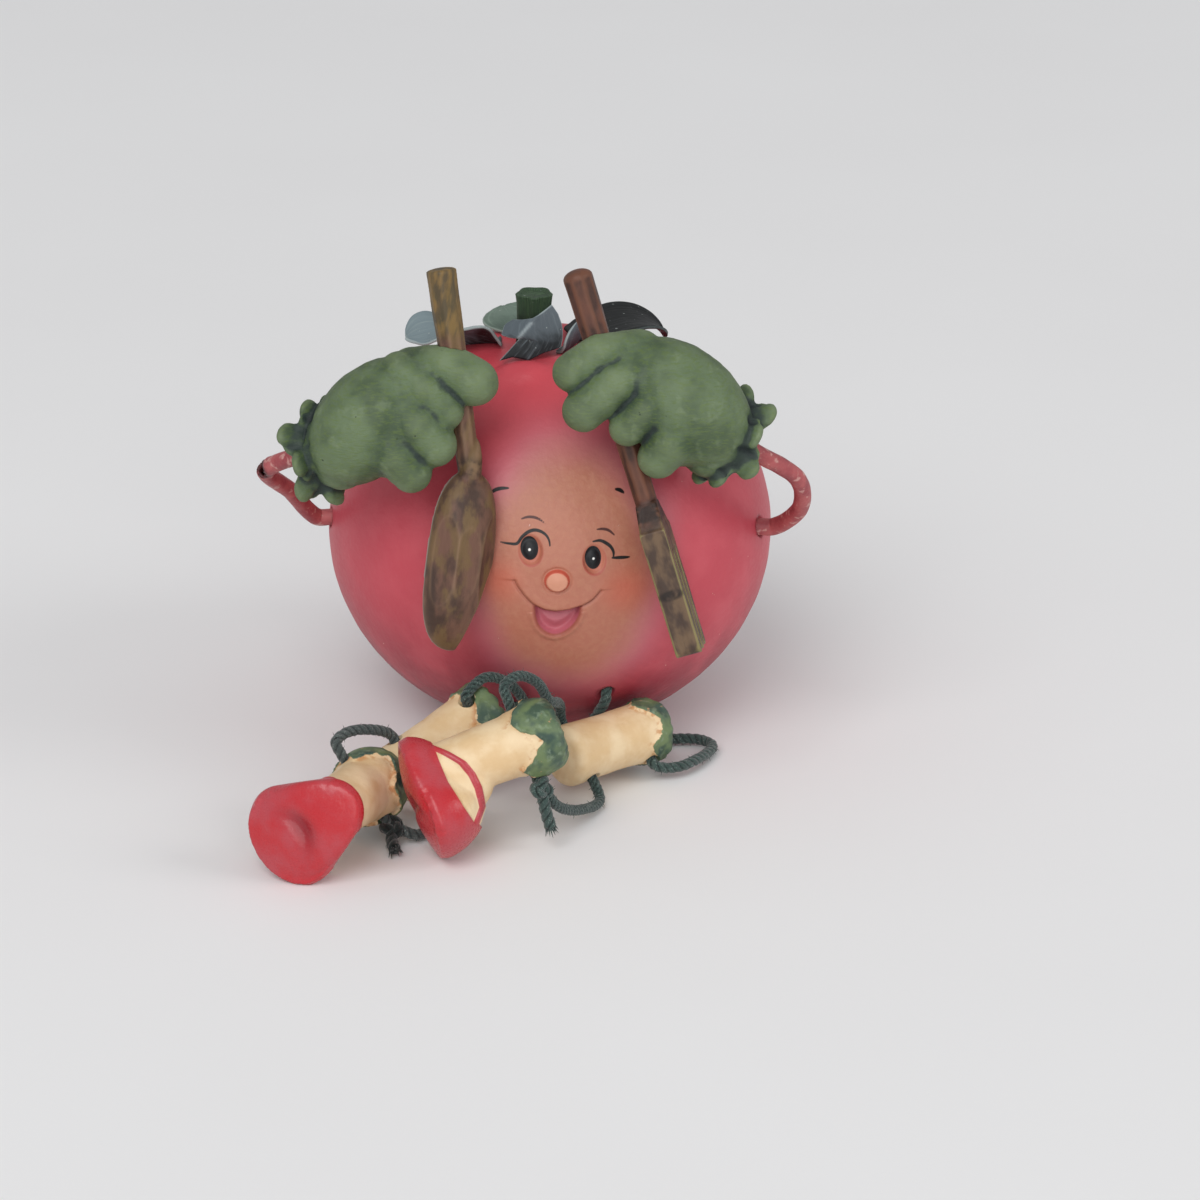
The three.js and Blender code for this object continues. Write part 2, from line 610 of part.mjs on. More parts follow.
function through(from, to) {
  return HELD_SHARES.map((share) => from.clone().lerp(to, share));
}

function laid(from, ...offsets) {
  return offsets.map(([x, y, z]) => from.clone().add(vec(x, y, z)));
}

function cordSolid(route, knot, tails) {
  let cord = solidOf(sweep(route, CORD_DIAMETER / 2, TUBE_SIDES, CORD_STEP));
  if (knot) {
    const ball = eggShape(KNOT_DIAMETER, KNOT_DIAMETER, KNOT_DIAMETER, KNOT_SIDES);
    cord = cord.add(solidOf(ball, shifted(knot.x, knot.y, knot.z)));
  }
  for (const tail of tails) {
    cord = cord.add(solidOf(sweep(tail, CORD_DIAMETER / 2, TUBE_SIDES, CORD_STEP)));
  }
  return cord;
}

const mouthReach = thighRadius + CORD_DIAMETER / 2;
const cuffReach = cuffRadius + CORD_DIAMETER / 2;
for (const leg of Object.values(LEGS)) {
  const { thigh, shin, cordHole } = leg;
  leg.hipHole = holeMouths(leg.thighFrame, HOLE_INSET, thigh.hipRoll, mouthReach);
  leg.kneeHole = holeMouths(leg.thighFrame, THIGH_LENGTH - HOLE_INSET, thigh.kneeRoll, mouthReach);
  leg.cuffHole = holeMouths(leg.shinFrame, CUFF_HOLE_INSET, shin.holeRoll, cuffReach);
  leg.bodyEnd = [-CORD_SINK, -CORD_SINK / 2, CORD_DIAMETER / 2].map((along) => drilled(cordHole, along));
}

const cordRoutes = {
  hip_cord_left(leg) {
    const { high, low } = leg.hipHole;
    const over = laid(leg.bodyEnd[2], [1.1, -2.1, 0.9], [0.9, -4, 3.3], [-0.8, -5.4, 5.9], [-3.4, -7.2, 7.3]);
    const knot = laid(low, [0.4, -0.2, -0.9])[0];
    const tail = [knot, ...laid(knot, [1.6, -1.2, -0.9], [3.4, -2.4, -1.2])];
    return { route: [...leg.bodyEnd, ...over, ...through(high, low), knot], knot, tails: [tail] };
  },
  hip_cord_right(leg) {
    const { low, high } = leg.hipHole;
    const behind = laid(leg.bodyEnd[2], [-0.8, 0.3, -1.8], [-1.7, 1.8, -4.2], [-0.5, 4.2, -7.4]);
    const floor = laid(leg.bodyEnd[2], [3.6, 6.1, -8.5], [8, 7.4, -8.5], [11.6, 7.2, -8.5], [13, 5.4, -8.5]);
    const back = laid(low, [4.4, 2.2, -0.7], [2, 0.4, -0.6]);
    const held = through(low, high).slice(0, 3);
    return { route: [...leg.bodyEnd, ...behind, ...floor, ...back, ...held], tails: [] };
  },
  knee_cord_left(leg) {
    const { low, high } = leg.cuffHole;
    const over = laid(high, [-0.6, 0.9, 1], [0.8, 2.8, 1.5], [3.6, 4.6, 1]);
    const under = laid(leg.kneeHole.low, [0.9, -1, -0.8], [1.4, -3.6, -0.9]);
    const knot = laid(low, [0.3, -0.2, -0.3])[0];
    const home = laid(knot, [3, 0.6, -1.2]);
    const top = leg.kneeHole.high;
    const bottom = leg.kneeHole.low;
    const first = [knot, ...through(low, high), ...over];
    const second = [...through(top, bottom), ...under, ...home, knot];
    const tail = [knot, ...laid(knot, [0, -1.6, -0.9], [0.4, -3.4, -1.2])];
    return { route: [...first, ...second], knot, tails: [tail] };
  },
  knee_cord_right(leg) {
    const { low, high } = leg.cuffHole;
    const over = laid(high, [-0.5, 1, 1.4], [1, 2.7, 2], [3.2, 4.8, 0.4], [4.6, 7.2, -3]);
    const near = laid(leg.kneeHole.high, [-0.2, -0.6, 2.2]);
    const under = laid(leg.kneeHole.low, [0.6, -1.4, -1.4]);
    const knot = laid(low, [0.4, -0.4, -0.6])[0];
    const home = laid(knot, [4, 5.4, -5.2], [1.8, 1.8, -3]);
    const top = leg.kneeHole.high;
    const bottom = leg.kneeHole.low;
    const first = [knot, ...through(low, high), ...over, ...near];
    const second = [...through(top, bottom), ...under, ...home, knot];
    const tail = [knot, ...laid(knot, [0.4, -0.4, -2.4], [1, -0.6, -4.6])];
    return { route: [...first, ...second], knot, tails: [tail] };
  },
};

for (const [name, lay] of Object.entries(cordRoutes)) {
  const { route, knot, tails } = lay(LEGS[name.split('_').pop()]);
  addMesh(name, geometryOf(cordSolid(route, knot, tails)), 'cord');
}

// Body with its holes
function bodySolid() {
  const start = Math.asin(BASE_WIDTH / BODY_WIDTH);
  const profile = [new THREE.Vector2(0, 0)];
  for (let i = 0; i < BODY_RINGS; i += 1) {
    const turn = start + ((Math.PI - start) * i) / BODY_RINGS;
    const radius = bodyRadius * Math.sin(turn);
    const low = bodyMiddle - bodyHalfHeight * Math.cos(turn);
    profile.push(new THREE.Vector2(radius, turn > Math.PI / 2 ? crownHeight(radius) : low));
  }
  profile.push(new THREE.Vector2(0, crownHeight(0)));
  let body = solidOf(new THREE.LatheGeometry(profile, BODY_SIDES).rotateX(Math.PI / 2));
  for (const { sign, rootPoint } of Object.values(HANDS)) {
    const inner = rootPoint.clone().addScaledVector(right, -sign * ARM_HOLE_DEPTH);
    const outer = rootPoint.clone().addScaledVector(right, sign * SLEEVE_DIAMETER);
    body = body.subtract(rod(inner, outer, SLEEVE_DIAMETER / 2 + CLEARANCE));
  }
  for (const { cordHole } of Object.values(LEGS)) {
    const inner = drilled(cordHole, -CORD_HOLE_DEPTH);
    body = body.subtract(rod(inner, drilled(cordHole, CORD_HOLE_DEPTH), CORD_HOLE_DIAMETER / 2));
  }
  return body;
}

addMesh('tomato_body', geometryOf(bodySolid()), 'tomato');

// Crown: the highest level of the dipped top within a distance of its middle
function crownRest(radius) {
  const levels = Array.from({ length: CROWN_STEPS + 1 }, (_, i) => crownHeight((radius * i) / CROWN_STEPS));
  return Math.max(...levels);
}

// A sepal's middle line, in steps that climb and curl, and its slope at each
function sepalSpine({ root, rest, length, slope, curl }) {
  const spine = [vec(root, 0, crownRest(rest) + CLEARANCE + SEPAL_THICKNESS / 2)];
  const slopes = [];
  for (let i = 0; i <= SEPAL_STEPS; i += 1) {
    const share = i / SEPAL_STEPS;
    const angle = (slope * Math.min(1, share / SEPAL_CLIMB) + curl * share ** SEPAL_CURL_POWER) * RAD;
    slopes.push(angle);
    const step = vec(Math.cos(angle), 0, Math.sin(angle)).multiplyScalar(length / SEPAL_STEPS);
    spine.push(spine[i].clone().add(step));
  }
  return { spine, slopes };
}

function sepalGeometry(sepal) {
  const { length, width, base, cup, fold, lean } = sepal;
  const { spine, slopes } = sepalSpine(sepal);
  const sheet = new THREE.BoxGeometry(length, width, SEPAL_THICKNESS, SEPAL_CELLS, SEPAL_CELLS_ACROSS, 1);
  const place = sheet.attributes.position;
  for (let i = 0; i < place.count; i += 1) {
    const share = place.getX(i) / length + 0.5;
    const across = place.getY(i) / (width / 2);
    const at = Math.round(share * SEPAL_STEPS);
    const leaf = SEPAL_TIP + (1 - SEPAL_TIP) * Math.sin(Math.PI * (base + (1 - base) * share));
    const edge = Math.abs(fold) * ((1 + Math.sign(fold) * across) / 2) ** 2;
    const lift = place.getZ(i) + (cup * across ** 2 + edge) * leaf * share;
    const x = spine[at].x - lift * Math.sin(slopes[at]);
    const y = across * leaf * (width / 2) + lean * share;
    place.setXYZ(i, x, y, spine[at].z + lift * Math.cos(slopes[at]));
  }
  return sheet;
}

for (const sepal of SEPALS) {
  const spin = new THREE.Matrix4().makeRotationZ(sepal.azimuth * RAD).setPosition(CROWN_OFFSET, 0, 0);
  addMesh(`sepal_${sepal.side}`, geometryOf(solidOf(sepalGeometry(sepal))), 'leaf', spin);
}

const stem = new THREE.CylinderGeometry(STEM_TOP_WIDTH / 2, STEM_WIDTH / 2, STEM_HEIGHT, STEM_SIDES);
const stemFoot = crownRest(STEM_WIDTH / 2 - CROWN_OFFSET) + CLEARANCE;
addMesh('stem', stem.rotateX(Math.PI / 2), 'leaf', shifted(CROWN_OFFSET, 0, stemFoot + STEM_HEIGHT / 2));

export default figure;
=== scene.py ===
# %% [markdown]
# # A tomato that sits on a shelf
# The figure is a cast and painted tomato with a face, gloved wire arms, a spoon, a fork and two legs
# that hang on cord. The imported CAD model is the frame: it fixes where every piece is and how it moves.
# Everything here is a skin for that frame, so each piece is made in place and rides on a CAD body.

# %% Load the frame
import math

import bmesh
import bpy
import numpy as np
from mathutils import Matrix, Vector, noise


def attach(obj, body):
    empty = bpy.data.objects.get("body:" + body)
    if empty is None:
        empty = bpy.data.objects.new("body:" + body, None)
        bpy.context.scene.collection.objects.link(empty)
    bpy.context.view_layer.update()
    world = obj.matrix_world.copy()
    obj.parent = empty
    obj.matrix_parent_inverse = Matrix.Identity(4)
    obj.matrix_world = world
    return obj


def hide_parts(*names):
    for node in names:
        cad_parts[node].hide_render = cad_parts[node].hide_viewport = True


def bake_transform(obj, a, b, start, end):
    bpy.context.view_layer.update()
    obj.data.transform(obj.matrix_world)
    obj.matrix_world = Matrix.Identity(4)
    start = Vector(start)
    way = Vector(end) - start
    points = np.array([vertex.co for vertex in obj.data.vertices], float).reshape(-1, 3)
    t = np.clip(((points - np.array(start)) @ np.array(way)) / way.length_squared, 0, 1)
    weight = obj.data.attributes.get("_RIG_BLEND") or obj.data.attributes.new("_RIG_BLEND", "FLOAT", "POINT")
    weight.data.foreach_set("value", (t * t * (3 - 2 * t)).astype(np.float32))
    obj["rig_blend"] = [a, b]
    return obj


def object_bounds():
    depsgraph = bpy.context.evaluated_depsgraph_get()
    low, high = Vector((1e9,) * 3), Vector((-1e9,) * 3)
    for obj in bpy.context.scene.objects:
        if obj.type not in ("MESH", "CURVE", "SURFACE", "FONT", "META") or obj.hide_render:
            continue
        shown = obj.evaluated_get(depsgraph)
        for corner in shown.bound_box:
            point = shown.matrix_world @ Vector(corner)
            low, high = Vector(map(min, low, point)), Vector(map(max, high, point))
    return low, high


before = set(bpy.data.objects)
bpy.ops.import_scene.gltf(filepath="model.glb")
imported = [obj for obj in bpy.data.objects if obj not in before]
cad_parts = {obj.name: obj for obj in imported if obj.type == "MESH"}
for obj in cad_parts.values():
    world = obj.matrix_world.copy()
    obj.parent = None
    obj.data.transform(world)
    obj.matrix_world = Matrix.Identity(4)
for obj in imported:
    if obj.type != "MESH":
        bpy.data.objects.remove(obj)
cad_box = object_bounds()
MM = 0.001

# %% [markdown]
# ## Camera, floor and light
# A long lens from half a metre away, tilted 22 degrees down, gives the flat perspective of a small
# thing photographed close to the middle of the frame. The floor is one pale plane. A broad lamp from the
# upper left, weaker ones from the front and the right and an even surrounding light make soft shadows, at
# a level where a colour shows about as it is written.

# %% Camera
CAMERA_PLACE = (6.17, -564.42, 241.35)
CAMERA_TILT = 68
LENS = 147
SENSOR_WIDTH = 36
view = bpy.data.cameras.new("front_view")
view.lens = LENS
view.sensor_width = SENSOR_WIDTH
view.clip_start = 10 * MM
camera = bpy.data.objects.new("front_view", view)
camera.location = Vector(CAMERA_PLACE) * MM
camera.rotation_euler = (math.radians(CAMERA_TILT), 0, 0)
bpy.context.collection.objects.link(camera)
bpy.context.scene.camera = camera
bpy.context.scene.view_settings.view_transform = "Standard"
print("camera at", [round(c, 4) for c in camera.location])

# %% Lamps and surrounding light
FIGURE_MIDDLE = Vector((0, -0.012, 0.025))


def lamp(name, place, size, power):
    """A round soft lamp that faces the figure"""
    data = bpy.data.lights.new(name, "AREA")
    data.shape = "DISK"
    data.size = size
    data.energy = power
    obj = bpy.data.objects.new(name, data)
    obj.location = place
    obj.rotation_euler = (FIGURE_MIDDLE - Vector(place)).to_track_quat("-Z", "Y").to_euler()
    bpy.context.collection.objects.link(obj)


lamp("key_lamp", (-0.7, -1.75, 1.85), 1.8, 33)
lamp("side_lamp", (1.7, -0.5, 1.0), 1.0, 8)
lamp("front_lamp", (0.25, -2.2, 0.75), 1.5, 11)
SKY_COLOUR = (0.97, 0.98, 1.0, 1.0)
SKY_STRENGTH = 0.44
world = bpy.data.worlds.new("soft_room")
world.use_nodes = True
sky = world.node_tree.nodes["Background"]
sky.inputs["Color"].default_value = SKY_COLOUR
sky.inputs["Strength"].default_value = SKY_STRENGTH
bpy.context.scene.world = world

# %% [markdown]
# ## A small kit for materials
# Painted resin, carved wood and string all need colour that wanders, so every finish is a little graph of
# nodes. Wrapping a socket in a class lets the graph be written as sums. Colours are mixed with Mix nodes,
# and masks are smooth steps, so that 1 - mask or mask * noise reads as it is meant.

# %% Node kit
def tint(code):
    """A colour written as six hex digits, as the linear colour that nodes use"""
    parts = [int(code[i:i + 2], 16) / 255 for i in (0, 2, 4)]
    return tuple(c / 12.92 if c <= 0.04045 else ((c + 0.055) / 1.055) ** 2.4 for c in parts) + (1.0,)


class Sock:
    """A socket in a material. Arithmetic on it adds Math nodes, or Vector Math nodes for a vector."""

    def __init__(self, tree, socket=None):
        self.tree = tree
        self.socket = socket

    def make(self, kind, settings=None, inputs=None, out=0):
        node = self.tree.nodes.new("ShaderNode" + kind)
        for key, value in (settings or {}).items():
            setattr(node, key, value)
        for key, value in (inputs or {}).items():
            if isinstance(value, Sock):
                self.tree.links.new(value.socket, node.inputs[key])
            else:
                node.inputs[key].default_value = value
        return Sock(self.tree, node.outputs[out])

    def sums(self, operation, first, second):
        kind = "VectorMath" if self.socket.type == "VECTOR" else "Math"
        return self.make(kind, {"operation": operation}, {0: first, 1: second})

    def __add__(self, other):
        return self.sums("ADD", self, other)

    def __radd__(self, other):
        return self.sums("ADD", other, self)

    def __sub__(self, other):
        return self.sums("SUBTRACT", self, other)

    def __rsub__(self, other):
        return self.sums("SUBTRACT", other, self)

    def __mul__(self, other):
        return self.sums("MULTIPLY", self, other)

    def __rmul__(self, other):
        return self.sums("MULTIPLY", other, self)


print("red is", [round(c, 3) for c in tint("c44854")])

# %% Masks, noise and finishes
def ramp(value, low, high):
    """0 below low, 1 above high, and smooth between them"""
    settings = {"interpolation_type": "SMOOTHSTEP"}
    return value.make("MapRange", settings, {"Value": value, "From Min": low, "From Max": high})


def mix(share, first, second):
    """The first colour where the share is 0, the second where it is 1"""
    first, second = (tint(c) if isinstance(c, str) else c for c in (first, second))
    return share.make("Mix", {"data_type": "RGBA"}, {0: share, 6: first, 7: second}, 2)


def coats(colour, *layers):
    """Coats of paint laid over a colour, each a share and its own colour"""
    for share, coat in layers:
        colour = mix(share, colour, coat)
    return colour


def between(value, low, rise, fall, high):
    """1 from rise to fall, and 0 below low and above high"""
    return ramp(value, low, rise) * (1 - ramp(value, fall, high))


def higher(first, second):
    return first.make("Math", {"operation": "MAXIMUM"}, {0: first, 1: second})


def cloud(place, scale, detail=3.0):
    """Soft noise from 0 to 1"""
    return place.make("TexNoise", None, {"Vector": place, "Scale": scale, "Detail": detail})


def axes(place):
    """The x, y and z of a place"""
    node = place.make("SeparateXYZ", None, {0: place}).socket.node
    return [Sock(place.tree, out) for out in node.outputs]


def span(place, centre, reach):
    """Distance from a centre, counted in the reach along each axis"""
    offset = (place - centre) * tuple(1 / r if r else 0.0 for r in reach)
    return offset.make("VectorMath", {"operation": "LENGTH"}, {0: offset}, "Value")


def new_finish(name, **fixed):
    """A material, its shader, and its own Object coordinates in millimetres"""
    material = bpy.data.materials.new(name)
    material.use_nodes = True
    shader = material.node_tree.nodes["Principled BSDF"]
    for key, value in fixed.items():
        shader.inputs[key.replace("_", " ")].default_value = value
    place = Sock(material.node_tree).make("TexCoord", out="Object") * (1 / MM, 1 / MM, 1 / MM)
    return material, shader, place


def painted(place, name, out="Fac"):
    """A value that the mesh carries at each of its points"""
    return place.make("Attribute", {"attribute_name": name}, out=out)


def dress(shader, colour, roughness, height, depth):
    """Links colour, roughness and a bump of that depth in millimetres to the shader"""
    tree = shader.id_data
    normal = height.make("Bump", None, {"Height": height, "Strength": 1.0, "Distance": depth * MM})
    tree.links.new(colour.socket, shader.inputs["Base Color"])
    tree.links.new(roughness.socket, shader.inputs["Roughness"])
    tree.links.new(normal.socket, shader.inputs["Normal"])


print("made: ramp, mix, coats, between and higher; cloud, axes, span and painted; new_finish and dress")

# %% Floor
floor_finish, floor_shader, floor_place = new_finish("pale_board", Specular_IOR_Level=0.2)
floor_tone = mix(cloud(floor_place, 0.01), "e9e8e8", "efefef")
dress(floor_shader, floor_tone, cloud(floor_place, 0.4) * 0.1 + 0.7, cloud(floor_place, 1.2), 0.01)
FLOOR_SIZE = 3
bm = bmesh.new()
bmesh.ops.create_grid(bm, x_segments=2, y_segments=2, size=FLOOR_SIZE)
floor_mesh = bpy.data.meshes.new("floor")
bm.to_mesh(floor_mesh)
bm.free()
floor_mesh.materials.append(floor_finish)
floor = bpy.data.objects.new("floor", floor_mesh)
floor.location.z = cad_box[0][2]
bpy.context.collection.objects.link(floor)
print("floor at", round(floor.location.z, 5))

# %% [markdown]
# ## From a bmesh to a piece
# Meshes are worked in millimetres and set down in metres at the end, each object at the origin with its
# place in its mesh. The helpers read and write points as number arrays, which is how the fine relief is
# pressed in: an operator makes the form, and then each point moves a little along its normal.

# %% Mesh helpers
def numbers(items, field, width):
    values = np.empty(len(items) * width, np.float32)
    items.foreach_get(field, values)
    return values.reshape(-1, width).astype(float)


def points_of(mesh):
    return numbers(mesh.vertices, "co", 3)


def move_points(mesh, points):
    mesh.vertices.foreach_set("co", points.astype(np.float32).ravel())
    mesh.update()


def push_out(mesh, amounts):
    """Moves each point along its normal by its own amount"""
    normals = numbers(mesh.vertex_normals, "vector", 3)
    move_points(mesh, points_of(mesh) + normals * amounts[:, None])


def carry(mesh, **fields):
    """Keeps a number, or a vector, at each point for the finish to read by its name"""
    for name, values in fields.items():
        kind, field = ("FLOAT", "value") if values.ndim == 1 else ("FLOAT_VECTOR", "vector")
        layer = mesh.attributes.new(name, kind, "POINT")
        layer.data.foreach_set(field, values.astype(np.float32).ravel())


def ease(value, low, high):
    share = np.clip((value - low) / (high - low), 0, 1)
    return share * share * (3 - 2 * share)


def ripple(points, scale, seed=0.0):
    """Smooth noise from -1 to 1 at each point"""
    return np.array([noise.noise(Vector(p) * scale + Vector((seed, seed, seed))) for p in points])


print("half way along, ease gives", float(ease(np.array(0.5), 0.0, 1.0)))

# %% Forms and pieces
def to_mesh(bm, name):
    mesh = bpy.data.meshes.new(name)
    bm.to_mesh(mesh)
    bm.free()
    return mesh


def turned(degrees, axis, size=4):
    return Matrix.Rotation(math.radians(degrees), size, axis)


def extrude_ring(bm, edges):
    """Extrudes a ring of edges, and gives the points and edges of the new ring"""
    made = bmesh.ops.extrude_edge_only(bm, edges=edges)["geom"]
    ring = {v for v in made if isinstance(v, bmesh.types.BMVert)}
    return list(ring), [e for e in made if isinstance(e, bmesh.types.BMEdge) and set(e.verts) <= ring]


def spun(outline, axis, steps):
    """The closed form that a chain of points sweeps round an axis through the origin"""
    bm = bmesh.new()
    chain = [bm.verts.new(p) for p in outline]
    for near, far in zip(chain, chain[1:]):
        bm.edges.new((near, far))
    bmesh.ops.spin(bm, geom=bm.verts[:] + bm.edges[:], cent=(0, 0, 0), axis=axis, angle=2 * math.pi,
                   steps=steps, use_merge=True)
    bmesh.ops.remove_doubles(bm, verts=bm.verts, dist=0.001)
    bmesh.ops.recalc_face_normals(bm, faces=bm.faces)
    return bm


def piece(name, mesh, finishes, body=None, nodes=(), place=None):
    """The finished mesh as an object at the origin, riding on its body in place of its CAD nodes"""
    if place is not None:
        mesh.transform(place)
    mesh.transform(Matrix.Scale(MM, 4))
    mesh.polygons.foreach_set("use_smooth", [True] * len(mesh.polygons))
    for finish in finishes:
        mesh.materials.append(finish)
    obj = bpy.data.objects.new(name, mesh)
    bpy.context.collection.objects.link(obj)
    if body:
        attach(obj, body)
    if nodes:
        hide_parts(*nodes)
    print(name, len(mesh.vertices), "points")
    return obj


print("x turned 90 degrees about z:", [round(c, 3) for c in turned(90, "Z") @ Vector((1, 0, 0))])

# %% [markdown]
# ## Cords
# The legs hang on thin braided string, knotted where it comes out of a hole: grey and black on the left
# knee, dark green elsewhere. Each cord is one length on one smooth curve through the drilled holes. A
# bevelled curve would be the quick way, but the strands would then be paint only, so a ring of edges is
# extruded along the route and its points are drawn in between the strands.

# %% Cord finish
def cord_finish(name, deep, mid, worn):
    material, shader, place = new_finish(name, Specular_IOR_Level=0.2, Sheen_Weight=0.3)
    strand = painted(place, "strand")
    fibre = cloud(place, 9.0, 4.0)
    tuft = cloud(place, 1.3)
    # Deep between the strands and mid on their tops: painted shade in the grooves of the cord.
    colour = mix(ramp(strand, 0.15, 0.8), deep, mid)
    frayed = ramp(fibre, 0.5, 0.7) * ramp(strand, 0.3, 0.9) * ramp(tuft, 0.35, 0.65)
    colour = mix(frayed, colour, worn)
    dress(shader, colour, fibre * 0.15 + 0.8, fibre + strand, 0.09)
    return material


green_string = cord_finish("green_string", "111a19", "384945", "899993")
grey_string = cord_finish("grey_string", "171b1c", "434b4a", "8f9793")
black_string = cord_finish("black_string", "0b0e0e", "1d2423", "46504d")
print("string finishes:", green_string.name, grey_string.name, black_string.name)

# %% Routes
def smooth_route(points, step):
    """A centripetal curve through the points, sampled about every step"""
    knots = [Vector(p) for p in points]
    knots = [2 * knots[0] - knots[1]] + knots + [2 * knots[-1] - knots[-2]]
    route = []
    for a, b, c, d in zip(knots, knots[1:], knots[2:], knots[3:]):
        before, span_here, after = ((q - p).length ** 0.5 for p, q in ((a, b), (b, c), (c, d)))
        leave = ((b - a) / before - (c - a) / (before + span_here)) * span_here + (c - b)
        arrive = ((d - c) / after - (d - b) / (span_here + after)) * span_here + (c - b)
        count = max(2, round((c - b).length / step))
        for i in range(count):
            t = i / count
            near = (2 * t - 3) * t * t + 1
            route.append(b * near + c * (1 - near) + leave * (t * (t - 1) ** 2) + arrive * (t * t * (t - 1)))
    return route + [knots[-2]]


def route_length(route):
    return sum((b - a).length for a, b in zip(route, route[1:]))


def route_frames(route):
    """A frame at each point of a route, turned no more than the route turns"""
    ahead = [(b - a).normalized() for a, b in zip(route[:1] + route, route[1:] + route[-1:])]
    side = ahead[0].orthogonal().normalized()
    frames = []
    for i, (point, along) in enumerate(zip(route, ahead)):
        if i:
            side = ahead[i - 1].rotation_difference(along) @ side
        turn = Matrix((side, along.cross(side), along)).transposed()
        frames.append(Matrix.Translation(point) @ turn.to_4x4())
    return frames


corner = smooth_route([(0, 0, 0), (5, 0, 0), (5, 5, 0)], 0.5)
print("a 5 and 5 mm corner, rounded, is", round(route_length(corner), 2), "mm long")

# %% Strings and loose fibres
STRING_SIDES = 20
STRAND_FLOOR = 0.8
STRAND_SWELL = 0.22
STRING_FUZZ = 0.07
HAIR_FLOOR = 0.05
HAIR_AHEAD = 0.5
FRAY_AHEAD = 2.5
HAIR_SPREAD = 0.7
HAIR_LENGTH = (0.3, 0.65)
HAIR_RADIUS = 0.07
HAIR_TIP = 0.01
HAIR_SHADE = 0.9


def sweep(frames, radius, sides, closed=True):
    """A ring carried along the frames, extruded at each step"""
    bm = bmesh.new()
    bmesh.ops.create_circle(bm, segments=sides, radius=radius, matrix=frames[0])
    start = edges = bm.edges[:]
    for here, there in zip(frames, frames[1:]):
        ring, edges = extrude_ring(bm, edges)
        bmesh.ops.transform(bm, matrix=there @ here.inverted(), verts=ring)
    if closed:
        for end in (start, edges):
            bmesh.ops.contextual_create(bm, geom=end)
    bmesh.ops.recalc_face_normals(bm, faces=bm.faces)
    return bm


def string_mesh(name, route, radius, strands, pitch, plaited):
    """A tube drawn in between its strands, twisted one way or plaited both ways"""
    frames = route_frames(route)
    mesh = to_mesh(sweep(frames, radius, STRING_SIDES), name)
    points = points_of(mesh).reshape(len(frames), STRING_SIDES, 3)
    centres = np.array([f.translation for f in frames])
    out = points - centres[:, None]
    across = np.array([f.col[0][:3] for f in frames])
    over = np.array([f.col[1][:3] for f in frames])
    angle = np.arctan2((out * over[:, None]).sum(2), (out * across[:, None]).sum(2))
    steps = [0.0] + [(b - a).length for a, b in zip(route, route[1:])]
    turn = (2 * math.pi / pitch) * np.cumsum(steps)[:, None]
    lay = np.abs(np.cos(strands * (angle - turn) / 2))
    if plaited:
        lay = lay * np.abs(np.sin(strands * (angle + turn) / 2)) ** 0.5
    lay = lay ** 0.6
    fuzz = ripple(points.reshape(-1, 3), 2.6, 3.0).reshape(lay.shape)
    swell = STRAND_FLOOR + STRAND_SWELL * lay + STRING_FUZZ * fuzz
    move_points(mesh, (centres[:, None] + out * swell[..., None]).reshape(-1, 3))
    carry(mesh, strand=lay.ravel())
    return mesh


def with_hairs(mesh, route, radius, fray=0):
    """The string with loose fibres standing out of it, in a fixed order, and a frayed end"""
    frames = route_frames(route)
    dice = np.random.default_rng(len(frames))
    roots = [(f, HAIR_AHEAD) for f in frames[1:-1:2]] + [(frames[-1], FRAY_AHEAD)] * fray
    bm = bmesh.new()
    bm.from_mesh(mesh)
    layer = bm.verts.layers.float["strand"]
    for frame_here, ahead in roots:
        angle = dice.uniform(0, 2 * math.pi)
        out = Vector((math.cos(angle), math.sin(angle), 0))
        aim = out + Vector((0, 0, ahead + dice.uniform(-HAIR_SPREAD, HAIR_SPREAD)))
        loose = ahead == FRAY_AHEAD
        size = 2 if loose else 1
        length = dice.uniform(*HAIR_LENGTH) * size
        root = out * radius * (dice.uniform(0.1, 0.9) if loose else 0.8) + aim.normalized() * (length / 2)
        place = frame_here @ Matrix.Translation(root) @ aim.to_track_quat("Z", "Y").to_matrix().to_4x4()
        made = bmesh.ops.create_cone(bm, cap_ends=True, segments=3, radius1=HAIR_RADIUS * size,
                                     radius2=HAIR_TIP, depth=length, matrix=place)
        for vert in made["verts"]:
            vert[layer] = HAIR_SHADE
            vert.co.z = max(vert.co.z, HAIR_FLOOR)
    bm.to_mesh(mesh)
    bm.free()
    return mesh


print("strings have", STRING_SIDES, "sides")

